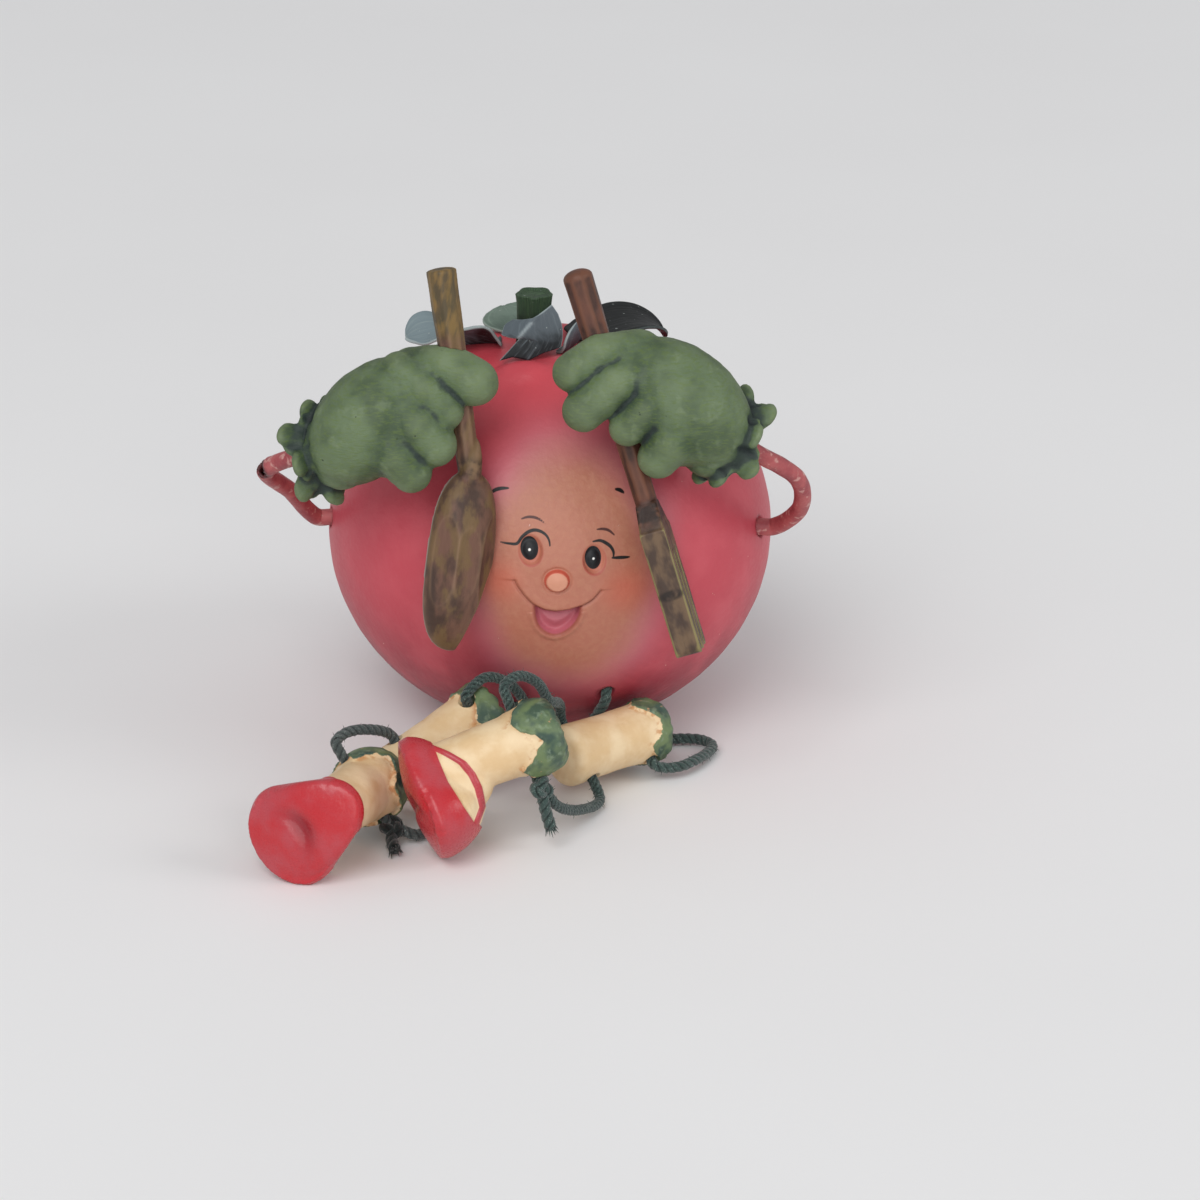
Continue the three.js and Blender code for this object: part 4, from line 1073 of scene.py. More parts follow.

# %% [markdown]
# ### The front sepal
# This one stands up in front of the stem, and its left lobe is folded back. A spine can't draw that outline,
# so its four edges are given as lines, across and up as the viewer sees them, and a grid is stretched
# between them. Points past the fold line then lean away, and a pale painted highlight runs along the fold.

# %% Front sepal
FRONT_FOOT = (-2.26, -7.58, 47.55)
FRONT_TURN = 0.29
FRONT_EDGES = {
    "left": [(-3.74, -0.2), (-2.44, 1.22), (-1.3, 2.52), (-2.44, 2.68), (-3.46, 3.0), (-3.05, 4.27),
             (-1.95, 4.88)],
    "right": [(3.74, 1.54), (3.9, 2.44), (3.94, 3.46), (3.82, 4.39), (3.37, 5.61), (2.56, 6.71)],
    "bottom": [(-3.74, -0.2), (-2.11, 0.28), (-0.2, -0.08), (1.54, 0.81), (3.74, 1.54)],
    "top": [(-1.95, 4.88), (-0.81, 4.8), (0.41, 4.96), (1.63, 5.89), (2.56, 6.71)],
}
FOLD_START = Vector((-3.74, -0.2))
FOLD_SIDE = Vector((-0.76, 0.65))
FOLD_LEAN = 1.15
FOLD_LINE = 0.13
FRONT_BULGE = 0.6


def along_edge(line, share):
    spot = share * (len(line) - 1)
    return Vector([np.interp(spot, range(len(line)), [p[k] for p in line]) for k in (0, 1)])


bm = bmesh.new()
bmesh.ops.create_grid(bm, x_segments=30, y_segments=30, size=0.5)
left, right, bottom, top = (FRONT_EDGES[k] for k in ("left", "right", "bottom", "top"))
shares = []
for vert in bm.verts:
    s, t = vert.co.x + 0.5, vert.co.y + 0.5
    spot = along_edge(bottom, s) * (1 - t) + along_edge(top, s) * t + along_edge(left, t) * (1 - s)
    spot += along_edge(right, t) * s - Vector(left[0]) * (1 - s) * (1 - t) - Vector(right[0]) * s * (1 - t)
    spot -= Vector(left[-1]) * (1 - s) * t + Vector(right[-1]) * s * t
    past = (spot - FOLD_START).dot(FOLD_SIDE)
    depth = FRONT_BULGE * math.sin(math.pi * s) * t - FOLD_LEAN * max(past, 0)
    depth -= FRONT_TURN * (spot.x - left[0][0])
    vert.co = (spot.x, spot.y, depth)
    # A pale painted highlight along the fold line.
    fold_highlight = math.exp(-(past / FOLD_LINE) ** 2) if 2.2 < spot.y < 4.4 and s < 0.6 else 0
    shares.append((t, 2 * s - 1, fold_highlight))
bmesh.ops.reverse_faces(bm, faces=bm.faces)
bmesh.ops.smooth_vert(bm, verts=bm.verts, factor=0.5, use_axis_z=True)
front_mesh = to_mesh(bm, "front")
carry(front_mesh, leaf=np.array(shares))
leaf_piece("front", front_mesh, Matrix.Translation(FRONT_FOOT) @ turned(CAMERA_TILT, "X"))

# %% Stem
STEM_WIDTH = 4.7
STEM_HEIGHT = 6.4
STEM_FOOT = 47.1
STEM_SIDES = 5
STEM_FLAT = 0.07
STEM_CUTS = [(-1.95, 0.16, 0.16), (-1.2, 0.12, 0.08)]
STEM_RIM = 0.5
STEM_HOLLOW = 0.3
STEM_RINGS = [(0.5, 0.98), (2.0, 0.95), (2.6, 1.0), (1.0, 1.06), (0.2, 1.02), (0.1, 0.95)]
bm = bmesh.new()
stem_place = Matrix.Translation((CROWN_OFFSET, 0, STEM_FOOT))
bmesh.ops.create_circle(bm, segments=30, radius=STEM_WIDTH / 2, matrix=stem_place)
edges = bm.edges[:]
bmesh.ops.contextual_create(bm, geom=edges)
from_middle = Matrix.Translation((-CROWN_OFFSET, 0, 0))
for rise, swell in STEM_RINGS:
    ring, edges = extrude_ring(bm, edges)
    bmesh.ops.translate(bm, verts=ring, vec=(0, 0, rise))
    bmesh.ops.scale(bm, verts=ring, vec=(swell, swell, 1), space=from_middle)
cap = bmesh.ops.contextual_create(bm, geom=edges)["faces"]
bmesh.ops.inset_region(bm, faces=cap, thickness=STEM_RIM, depth=-STEM_HOLLOW)
bmesh.ops.recalc_face_normals(bm, faces=bm.faces)
bmesh.ops.subdivide_edges(bm, edges=bm.edges, cuts=2, use_grid_fill=True)
stem_mesh = to_mesh(bm, "stem")
points = points_of(stem_mesh)
around = np.arctan2(points[:, 1], points[:, 0] - CROWN_OFFSET)
flute = 1 - STEM_FLAT * (1 - np.cos(STEM_SIDES * (around + 0.35)))
for angle, width, depth in STEM_CUTS:
    flute -= depth * np.exp(-((around - angle) / width) ** 2)
points[:, 0] = CROWN_OFFSET + (points[:, 0] - CROWN_OFFSET) * flute
points[:, 1] *= flute
move_points(stem_mesh, points)
rise = (points[:, 2] - STEM_FOOT) / STEM_HEIGHT
carry(stem_mesh, leaf=np.stack([rise * 0.9, np.sin(7 * around) * 0.7, 0 * around], 1))
# Darkest at its foot, partly painted shade as on the leaves.
stem_green = leaf_finish("stem_green", "0f1715", "30442f", "6c8c5c", "74906a")
piece("stem_cut", stem_mesh, [stem_green], "figure", ["stem"])

# %% [markdown]
# ## Arms
# Each arm is a soft wire in a red plastic sleeve, bent by hand. The left sleeve has cracked at its sharpest
# bend, and the black wire shows. The sleeve is swept as an open tube, the cracked faces are taken out, and
# Solidify turns the rest into a wall.

# %% Sleeve and wire finishes
sleeve_paint, shader, place = new_finish("sleeve_paint", Specular_IOR_Level=0.45)
blotch = cloud(place, 0.5, 5.0)
colour = coats(
    mix(ramp(blotch, 0.3, 0.7), "963f45", "b55c5c"),
    (ramp(cloud(place, 0.9, 3.0), 0.56, 0.66) * 0.7, "cf9f97"),
    (painted(place, "crack") * 0.9, "3a1a1c"),
)
dress(shader, colour, blotch * 0.2 + 0.38, blotch + cloud(place, 3.0), 0.08)
wire_metal, shader, place = new_finish("wire_metal", Metallic=0.6)
blotch = cloud(place, 1.5, 4.0)
dress(shader, mix(blotch, "17181a", "3a3a3c"), blotch * 0.2 + 0.35, blotch, 0.02)
print("arm finishes:", sleeve_paint.name, wire_metal.name)

# %% Sleeves and wires
SLEEVE_RADIUS = 1.05
SLEEVE_WALL = 0.38
WIRE_RADIUS = 0.35
ARMS = {
    "left": [(-21.6, -4, 25.91), (-24.05, -4, 25.91), (-26.8, -4, 25.91), (-28.4, -4, 25.91),
             (-31.4, -8.6, 31.11), (-33.8, -15, 36.11), (-29.5, -19.83, 39.75), (-27.75, -20.97, 40.45),
             (-26, -22.11, 41.14), (-22.82, -24.17, 42.41)],
    "right": [(20.43, -8.6, 26.41), (22.88, -8.6, 26.41), (25.63, -8.6, 26.41), (27.23, -8.6, 26.41),
              (30.23, -12, 30.01), (29.83, -16.2, 35.41), (24.78, -20.65, 40.33), (23.14, -21.45, 41.55),
              (21.5, -22.26, 42.77), (18.51, -23.72, 44.99)],
}
CRACK = Vector((-34.4, -15.9, 36.6))
CRACK_REACH = 1.15
CRACK_CURL = 2.5
TORN_ROUGH = 0.1
SLEEVE_DENTS = 0.05
ARM_STEP = 0.35
for side, bends in ARMS.items():
    frames = route_frames(smooth_route(bends, ARM_STEP))
    bm = sweep(frames, SLEEVE_RADIUS, 24, closed=False)
    torn = [f for f in bm.faces if (f.calc_center_median() - CRACK).length < CRACK_REACH]
    if torn:
        bmesh.ops.delete(bm, geom=torn, context="FACES")
    sleeve_mesh = to_mesh(bm, "sleeve")
    points = points_of(sleeve_mesh)
    from_crack = np.linalg.norm(points - np.array(CRACK), axis=1)
    torn_edge = TORN_ROUGH * ripple(points, 2.0, 4.0) * (from_crack < CRACK_CURL)
    push_out(sleeve_mesh, SLEEVE_DENTS * ripple(points, 0.6, 2.0) + torn_edge)
    carry(sleeve_mesh, crack=1 - ease(from_crack, CRACK_REACH, CRACK_REACH + 0.5))
    node = "arm_sleeve_" + side
    sleeve = piece(node + "_red", sleeve_mesh, [sleeve_paint], "arm_" + side, [node])
    wall = sleeve.modifiers.new("wall", "SOLIDIFY")
    wall.thickness = SLEEVE_WALL * MM
    wall.offset = -1
    wire_mesh = to_mesh(sweep(frames, WIRE_RADIUS, 10), "wire")
    node = "arm_wire_" + side
    piece(node + "_black", wire_mesh, [wire_metal], "arm_" + side, [node])

# %% [markdown]
# ## Spoon and fork
# Both are whittled from a stick: eight flats on the handle, a hollowed bowl, three blunt tines. The bowl is
# a low ball cut in half and given a wall. Box and bar forms make the fork. All are fused at a fine voxel,
# which rounds the edges as sanding would, and the bowl is then pressed onto a few planes, which are the
# knife's long cuts.

# %% Wood finishes
def wood_finish(name, deep, mid, tinge, light):
    """Stained wood: long blotches of three stains, dark in the cuts and paler on the edges"""
    material, shader, place = new_finish(name, Specular_IOR_Level=0.35)
    grain = painted(place, "local", "Vector")
    hollow = painted(place, "hollow")
    blotch = cloud(grain * (0.42, 0.2, 0.42), 1.0, 4.0)
    patch = cloud(grain * (0.5, 0.26, 0.5) + (7.0, 3.0, 1.0), 1.0, 4.0)
    fibre = cloud(grain * (3.0, 0.5, 3.0), 1.0, 5.0)
    colour = coats(
        mix(ramp(blotch, 0.38, 0.6), deep, mid),
        (ramp(patch, 0.46, 0.62) * 0.8, tinge),
        (ramp(-1 * hollow, 0.01, 0.08) * 0.4, light),
        (ramp(hollow, 0.02, 0.12) * 0.8, "241a14"),
        (ramp(fibre, 0.55, 0.75) * 0.2, deep),
    )
    return material, shader, place, grain, hollow, colour, fibre * 0.4 + blotch


SPOON_GRIP = 15.0
spoon_wood, shader, place, grain, hollow, colour, height = wood_finish(
    "spoon_wood", "3f2d25", "694a3c", "6d5636", "8d7058")
_, y, z = axes(grain)
gold = mix(ramp(cloud(grain * (1.1, 0.3, 1.1), 1.0), 0.4, 0.62), "4d4630", "7d6538")
# A pale grey along the bowl's rim near the neck: a painted highlight.
rim = (1 - ramp(z, 0.2, 0.6)) * (1 - ramp(y, -1.0, 1.0))
band = between(y, -0.6, 0.4, 1.2, 2.4) * ramp(cloud(grain, 0.7), 0.4, 0.6)
colour = coats(
    colour,
    (ramp(y, SPOON_GRIP, SPOON_GRIP + 2.0) * 0.8, gold),
    (rim * 0.75, "a39a92"),
    (band * 0.8, "2b2019"),
)
dress(shader, colour, cloud(place, 1.0) * 0.2 + 0.45, height, 0.12)
FORK_NECK = 1.0
fork_wood, shader, place, grain, hollow, colour, height = wood_finish(
    "fork_wood", "38231c", "603a2c", "54332a", "80533d")
y = axes(grain)[1]
head = 1 - ramp(y, FORK_NECK - 3.0, FORK_NECK)
stain = mix(ramp(cloud(grain * (0.6, 0.3, 0.6), 1.0), 0.38, 0.62), "44342b", "6b5540")
band = between(y, FORK_NECK - 1.6, FORK_NECK - 0.8, FORK_NECK + 0.6, FORK_NECK + 1.6)
spot = 1 - ramp(span(grain, (-3.4, -9.0, 0.0), (1.6, 0.8, 2.0)), 0.5, 1.0)
colour = coats(
    colour,
    (head, stain),
    # The head is paler on its ridges, and near black in the slots between the tines as painted shade.
    (ramp(-1 * hollow, 0.08, 0.16) * head * 0.6, "938a58"),
    (ramp(hollow, 0.0, 0.06) * head * 0.85, "17120f"),
    ((band + spot) * ramp(cloud(grain, 0.6), 0.32, 0.5) * 0.85, "1d1410"),
)
dress(shader, colour, cloud(place, 1.0) * 0.2 + 0.42, height, 0.12)
print("wood finishes:", spoon_wood.name, fork_wood.name)

# %% Spoon
VIEW_DOWN = math.radians(90 - CAMERA_TILT)
VIEWER = Vector((0, -math.cos(VIEW_DOWN), math.sin(VIEW_DOWN)))
WOOD_VOXEL = 0.17
KNIFE_MARKS = 0.07
GRAIN_ROUNDS = 14
HANDLE_TOP = 1.85
HANDLE_FOOT = 1.35
SPOON_HANDLE = 24.6
SPOON_BEND = math.radians(16)
SPOON_TURN = 22
SPOON_DOME = 0.25
BOWL_LENGTH = 20.6
BOWL_WIDTH = 8.2
BOWL_DEPTH = 3.6
BOWL_WALL = 1.0
BOWL_SHOULDER = 5.0
SHOULDER_PLACE = (0, -0.6, 0.35)
KEEL_TOP = (0, 1.5, 0)
KEEL_FOOT = (0, -5.5, 1.2)
KEEL_RADIUS = 1.2
spoon_turn = turned(SPOON_TURN, "Z", 3) @ VIEWER
spoon_place = frame_of((-9.15, -24.80, 39.31), (2.75, 5.5, 20.1), spoon_turn)


def handle_form(bm, length, grow=0.0, angle=0.0, dome=0.0):
    """Eight flats, thicker at the top, up along y, with a domed end"""
    stand = Matrix.Rotation(angle, 4, "Z") @ Matrix.Translation((0, (length - dome) / 2, 0))
    place = stand @ Matrix.Rotation(-math.pi / 2, 4, "X") @ Matrix.Rotation(math.pi / 8, 4, "Z")
    bmesh.ops.create_cone(bm, cap_ends=True, segments=8, radius1=HANDLE_FOOT + grow,
                          radius2=HANDLE_TOP + grow, depth=length - dome, matrix=place)
    if dome:
        top = Matrix.Rotation(angle, 4, "Z") @ Matrix.Translation((0, length - dome, 0))
        ball(bm, top, (2 * HANDLE_TOP * 0.96, 2 * dome, 2 * HANDLE_TOP * 0.96))


def carved(mesh):
    """Broad knife marks, and the numbers that the wood finish reads"""
    push_out(mesh, KNIFE_MARKS * ripple(points_of(mesh) * (1, 0.35, 1), 0.55, 7.0))
    carry(mesh, local=points_of(mesh), hollow=hollows(mesh, GRAIN_ROUNDS))
    return mesh


BOWL_FLATS = [((0, 0, 1), 3.3), ((0.75, 0, 0.66), 3.45), ((-0.6, 0, 0.8), 3.4),
              ((0.5, -0.75, 0.43), 16.7), ((-0.55, -0.7, 0.45), 16.0), ((0.95, -0.3, 0.1), 7.0)]
BOWL_START = -2.0


def flattened(mesh, flats, below):
    """Presses whatever stands out past each flat back onto it, as a knife would leave it"""
    points = points_of(mesh)
    for facing, reach in flats:
        facing = np.array(facing) / np.linalg.norm(facing)
        past = np.clip(points @ facing - reach, 0, None) * (points[:, 1] < below)
        points -= past[:, None] * facing
    move_points(mesh, points)
    return mesh


bm = bmesh.new()
bowl_middle = Matrix.Translation((0, -BOWL_LENGTH / 2, 0))
lengthwise = Matrix.Rotation(math.pi / 2, 4, "X")
ball(bm, bowl_middle @ lengthwise, (BOWL_WIDTH, 2 * BOWL_DEPTH, BOWL_LENGTH + BOWL_WALL), 40, 30)
for vert in bm.verts:
    far = abs(vert.co.y + BOWL_LENGTH / 2) / (BOWL_LENGTH / 2 + BOWL_WALL / 2)
    fuller = ((1 - far ** 3) ** 0.45 if far < 1 else 0) / max(math.sqrt(max(1 - far * far, 0)), 0.05)
    vert.co.x *= min(fuller, 1.6)
bmesh.ops.bisect_plane(bm, geom=bm.verts[:] + bm.edges[:] + bm.faces[:], plane_co=(0, 0, 0),
                       plane_no=(0, 0, 1), clear_inner=True)
bmesh.ops.recalc_face_normals(bm, faces=bm.faces)
bmesh.ops.solidify(bm, geom=bm.faces[:], thickness=BOWL_WALL)
ball(bm, Matrix.Translation(SHOULDER_PLACE), (2 * HANDLE_FOOT, 2 * BOWL_SHOULDER, 2 * HANDLE_FOOT))
bar(bm, KEEL_TOP, KEEL_FOOT, HANDLE_FOOT, KEEL_RADIUS)
handle_form(bm, SPOON_HANDLE, angle=SPOON_BEND, dome=SPOON_DOME)
spoon_mesh = carved(flattened(fused(bm, WOOD_VOXEL, 6), BOWL_FLATS, BOWL_START))
piece("spoon_carved", spoon_mesh, [spoon_wood], "arm_left", ["spoon"], spoon_place)

# %% Fork
FORK_HANDLE = 30.6
FORK_DOME = 1.0
FORK_TURN = 89
FORK_THICKNESS = 3.1
TINES = 3
TINE_WIDTH = 1.6
TINE_GAP = 1.0
TINE_LENGTH = 12.5
SHOULDER = 4.0
SLOPE_PLACE = (0, 0.2, 0)
SLOPE_LENGTH = 3.6
SLOPE_FOOT = 1.2
fork_turn = turned(FORK_TURN, "Z", 3) @ VIEWER
fork_place = frame_of((12.20, -26.60, 34.41), (-0.3134, 0.2530, 1), fork_turn)


def block(bm, centre, size, taper=1.0, thin=1.0):
    """A box whose upper end is narrowed and thinned"""
    place = Matrix.Translation(Vector(centre)) @ Matrix.Diagonal(Vector(size)).to_4x4()
    made = bmesh.ops.create_cube(bm, size=1, matrix=place)["verts"]
    upper = [v for v in made if v.co.y > centre[1]]
    bmesh.ops.scale(bm, verts=upper, vec=(taper, 1, thin))


bm = bmesh.new()
handle_form(bm, FORK_HANDLE, dome=FORK_DOME)
head = TINES * TINE_WIDTH + (TINES - 1) * TINE_GAP
block(bm, (0, -(SHOULDER + SLOPE_FOOT) / 2, 0), (head, SHOULDER - SLOPE_FOOT, FORK_THICKNESS))
block(bm, SLOPE_PLACE, (head, SLOPE_LENGTH, FORK_THICKNESS * 0.98), taper=0.4, thin=0.84)
low, high = -SHOULDER - TINE_LENGTH, -SHOULDER + 1
tip = low + TINE_WIDTH / 2
tine = (TINE_WIDTH, high - low - TINE_WIDTH / 2, FORK_THICKNESS)
for i in range(TINES):
    across = (i - (TINES - 1) / 2) * (TINE_WIDTH + TINE_GAP)
    block(bm, (across, (low + high) / 2 + TINE_WIDTH / 4, 0), tine)
    bar(bm, (across, tip, -FORK_THICKNESS / 2), (across, tip, FORK_THICKNESS / 2), TINE_WIDTH / 2)
fork_mesh = carved(fused(bm, WOOD_VOXEL, 4))
piece("fork_carved", fork_mesh, [fork_wood], "arm_right", ["fork"], fork_place)

# %% [markdown]
# ## Gloves
# A garden glove, cast solid: a fat palm, four fingers curled round the stick, a thumb behind it and a frill
# of leaf lobes at the wrist. The creases carry painted grey shade, the ridges a paler painted highlight,
# and the frill a little painted shade. To place that shade, the surface is smoothed until the creases
# fill, and the distance to the smoothed surface says how deep a point lies. The same distance fills the
# valleys behind the knuckles, so that the back of the hand is one smooth dome.

# %% Glove paint
glove_paint, shader, place = new_finish("glove_paint", Specular_IOR_Level=0.3)
hollow = painted(place, "hollow")
broad = cloud(place, 0.22, 4.0)
blotch = cloud(place, 0.55, 5.0)
brush = cloud(place * (1.0, 1.0, 3.5), 1.3, 4.0)
pits = ramp(cloud(place, 1.7, 2.0), 0.765, 0.79)
colour = coats(
    mix(ramp(broad, 0.35, 0.65), "42523b", "5f7053"),
    (ramp(blotch, 0.55, 0.72) * 0.45, "78876a"),
    (ramp(brush, 0.46, 0.66) * 0.5, "596b35"),
    # Paler on the ridges as a painted highlight, and grey to near black in the creases as painted shade.
    (ramp(-1 * hollow, 0.05, 0.45) * 0.35, "7d8b68"),
    (ramp(hollow + (blotch - 0.5) * 0.7, 0.0, 0.3) * 0.9, "303b39"),
    (ramp(hollow, 0.25, 0.7) * 0.9, "1a2224"),
    (pits * 0.85, "1a211d"),
)
dress(shader, colour, blotch * 0.16 + 0.5, blotch + brush * 0.5 - pits, 0.14)
print("glove finish:", glove_paint.name)

# %% Lay out the hands
GLOVE_VOXEL = 0.24
CUFF_RADII = (4.2, 3.6)
FRILL_DISC = (10.4, 2.4, 10.4)
FRILL_LOBE = (4.8, 1.8, 4.2)
FRILL_SHADE = 0.22
GRIP_GAP = 0.12
BORE_GAP = 0.15
FRILL_RADIUS = 4.4
FRILL_LOBES = 9
FRILL_START = 0.3
FRILL_OUT = 1.4
LOBE_TILTS = (-12, 18)
LOBE_STEPS = (-0.5, 0.6)
LOBE_CREASE = 0.35
BACK_FILLS = 3
FILL_ROUNDS = 90
CREASE_SHADE_ROUNDS = 70
BORE_IN = 4.3
BORE_OUT = 9
HANDS = {
    "left": dict(
        origin=(-19.1, -22.5, 45.51), palm=(17.8, 12.2, 13.0), shift=(-1.6, -0.4, 0.2), turn=45,
        knuckles=(3.2, 0.33, 1),
        fingers=[[(3.2, 5.4, 0.8, 2.9), (7.4, 5.9, 3.0, 2.7), (10.6, 4.0, 2.9, 2.85)],
                 [(2.0, 5.0, 2.4, 2.8), (4.6, 2.9, 3.5, 2.7), (7.0, 0.7, 2.8, 2.4)],
                 [(0.8, 1.2, 2.8, 3.0), (3.6, -1.0, 3.6, 2.9), (6.0, -3.3, 2.7, 2.6)],
                 [(-1.2, -2.2, 2.4, 3.0), (1.2, -4.3, 3.0, 2.8), (3.2, -6.5, 2.0, 2.45)],
                 [(-4.2, -2.6, 0.0, 3.9), (-5.2, -5.2, -0.4, 3.3)]],
        thumb=[(2.2, 2.6, 0.0, 2.85), (7.8, 3.4, -3.4, 2.5)],
        wrist=(-6.5, -3.7, -2), axis=(-0.8, -0.1, -0.6),
        stick=spoon_place, stick_length=SPOON_HANDLE, stick_bend=SPOON_BEND),
    "right": dict(
        origin=(13.4, -22.5, 47.51), palm=(18.6, 12.8, 13.2), shift=(2.6, -0.2, 0.2), turn=-42,
        knuckles=(-1.6, -0.5, -1),
        fingers=[[(-2.6, 5.7, 0.8, 2.8), (-7.2, 5.4, 2.8, 2.5), (-10.5, 3.3, 2.6, 2.35)],
                 [(-1.5, 4.0, 2.2, 2.8), (-5.4, 1.9, 3.6, 2.6), (-9.2, -1.2, 2.8, 2.5)],
                 [(1.2, 0.8, 2.4, 2.8), (-1.6, -1.1, 3.6, 2.5), (-4.0, -3.2, 2.8, 2.2)],
                 [(3.0, -2.4, 2.2, 3.2), (1.2, -4.7, 2.8, 2.9), (-0.4, -6.6, 1.8, 2.5)],
                 [(5.0, -3.0, 0.0, 3.9), (5.6, -5.6, -0.4, 3.4)]],
        thumb=[(1.0, 2.6, 0.0, 2.85), (-6.4, 2.4, -3.4, 2.5)],
        wrist=(7.2, -3.8, -2), axis=(0.75, -0.38, -0.55),
        stick=fork_place, stick_length=FORK_HANDLE, stick_bend=0.0),
}
print("finger and heel forms:", {side: len(hand["fingers"]) for side, hand in HANDS.items()})

# %% Fuse, fill and cut the gloves
def finger_form(bm, joints):
    """A round-ended finger through its joints, each given by its place and radius"""
    for (*near, near_radius), (*far, far_radius) in zip(joints, joints[1:]):
        bar(bm, near, far, near_radius, far_radius)
    for *spot, radius in joints:
        ball(bm, Matrix.Translation(spot), (2 * radius,) * 3)


def frill_relief(points, ring):
    """A crease down the middle of each lobe of the frill, and how far a point lies on the frill"""
    inverse = np.array(ring.inverted())
    x, y, z = (points @ inverse[:3, :3].T + inverse[:3, 3]).T
    on_frill = ease(np.hypot(x, z), 4.2, 5.2) * (1 - ease(np.abs(y), 1.8, 2.8))
    lobe = (np.arctan2(x, z) / (2 * math.pi) * FRILL_LOBES + FRILL_START) % 1.0 - 0.5
    return -LOBE_CREASE * np.exp(-(lobe / 0.14) ** 2) * on_frill, on_frill


def glove_mesh(hand):
    """A glove, laid out as the viewer sees it, and the place where it stands"""
    bm = bmesh.new()
    ball(bm, Matrix.Translation(hand["shift"]) @ turned(hand["turn"], "Z"), hand["palm"], 36, 24)
    for joints in hand["fingers"] + [hand["thumb"]]:
        finger_form(bm, joints)
    axis = Vector(hand["axis"]).normalized()
    wrist = Vector(hand["wrist"])
    ring = frame_of(wrist + axis * FRILL_OUT, axis, (0, 0, 1))
    bar(bm, wrist - axis * 3, wrist + axis * FRILL_OUT, *CUFF_RADII)
    ball(bm, ring, FRILL_DISC)
    for i in range(FRILL_LOBES):
        turn = Matrix.Rotation(2 * math.pi * (i + FRILL_START) / FRILL_LOBES, 4, "Y")
        tilt = turned(LOBE_TILTS[i % 2], "Z")
        lobe = ring @ turn @ Matrix.Translation((FRILL_RADIUS, LOBE_STEPS[i % 2], 0)) @ tilt
        ball(bm, lobe, FRILL_LOBE, 20, 14)
    mesh = fused(bm, GLOVE_VOXEL, 3)
    start, lean, side = hand["knuckles"]
    for _ in range(BACK_FILLS):
        points = points_of(mesh)
        past = side * (points[:, 0] - start - lean * points[:, 1])
        back = (1 - ease(past, -1.0, 1.2)) * ease(points[:, 2], 0.5, 2.0)
        back *= 1 - frill_relief(points, ring)[1]
        push_out(mesh, np.clip(hollows(mesh, FILL_ROUNDS), 0, None) * back)
    points = points_of(mesh)
    dents = 0.08 * ripple(points, 0.45, 9.0) + 0.03 * ripple(points, 1.6, 3.0)
    push_out(mesh, dents + frill_relief(points, ring)[0])
    grip = bmesh.new()
    handle_form(grip, hand["stick_length"], GRIP_GAP, hand["stick_bend"])
    hand_place = Matrix.Translation(hand["origin"]) @ turned(CAMERA_TILT, "X")
    bmesh.ops.transform(grip, matrix=hand_place.inverted() @ hand["stick"], verts=grip.verts)
    bore = drill(wrist - axis * BORE_IN, wrist + axis * BORE_OUT, SLEEVE_RADIUS + BORE_GAP)
    mesh = cut(mesh, [grip, bore])
    # The crease depth, raised over the frill, tells the paint where to lay its painted shade.
    carry(mesh, hollow=hollows(mesh, CREASE_SHADE_ROUNDS) + FRILL_SHADE * frill_relief(points_of(mesh), ring)[1])
    return mesh, hand_place


for side, hand in HANDS.items():
    mesh, hand_place = glove_mesh(hand)
    node = "glove_" + side
    piece(node + "_cast", mesh, [glove_paint], "arm_" + side, [node], hand_place)

# %% [markdown]
# ## Legs
# Each leg is two cream castings. The upper ends wear a torn ring of painted leaves, and the foot wears a
# red shoe with a thin strap and a dent in its domed sole. The paint follows the casting, so each point
# carries its distance inside the leaf, the shoe and the strap. The same numbers raise those parts a little.
# The dent is painted dark red as painted shade, and pinker patches in the red are a painted sheen.

# %% Leg paint
leg_paint, shader, place = new_finish("leg_paint", Specular_IOR_Level=0.4)
leaf, shoe, strap = (painted(place, name) for name in ("leaf", "shoe", "strap"))
broad = cloud(place, 0.3, 4.0)
patch = cloud(place, 0.36, 2.0)
blotch = cloud(place, 1.1, 5.0)
fine = cloud(place, 3.0, 4.0)
leaf_mask = ramp(leaf + (blotch - 0.5) * 0.4, -0.05, 0.08)
flaked = leaf_mask * ramp(cloud(place, 1.5, 5.0), 0.69, 0.72)
shod = higher(ramp(shoe, -0.06, 0.06), 1 - ramp(strap, -0.05, 0.07))
green = coats(
    mix(ramp(broad, 0.35, 0.62), "43584c", "6b7d55"),
    (ramp(patch, 0.5, 0.64) * 0.75, "29423e"),
    (ramp(blotch, 0.52, 0.7) * 0.55, "87987f"),
)
red = coats(
    # The red wanders into a pinker tone in broad patches: a painted sheen on the shoe.
    mix(ramp(broad, 0.3, 0.7), "b92c33", "b4464e"),
    (ramp(fine, 0.7, 0.78) * 0.2, "8a1d27"),
    # The dent in the sole is painted dark red: painted shade.
    (painted(place, "dent") * 0.75, "7c1c26"),
)
colour = coats(
    mix(ramp(broad, 0.35, 0.65), "d9b98c", "e6cda6"),
    (ramp(fine, 0.66, 0.78) * 0.3, "c09a70"),
    (ramp(leaf, -1.4, 0.0) * ramp(blotch, 0.46, 0.6) * 0.75, "b9783f"),
    (leaf_mask, green),
    (flaked * 0.7, "c99b74"),
    (shod, red),
)
dress(shader, colour, fine * 0.12 + 0.42 - shod * 0.2, blotch * 0.6 + fine * 0.4 - flaked * 0.5, 0.07)
print("leg finish:", leg_paint.name)

# %% Limb helpers
LEAF_POINTS = 4
LEAF_RISE = 0.26
LEAF_LIP = 0.2


def limb_place(origin, heading, pitch):
    return Matrix.Translation(origin) @ turned(heading, "Z") @ turned(-pitch, "Y")


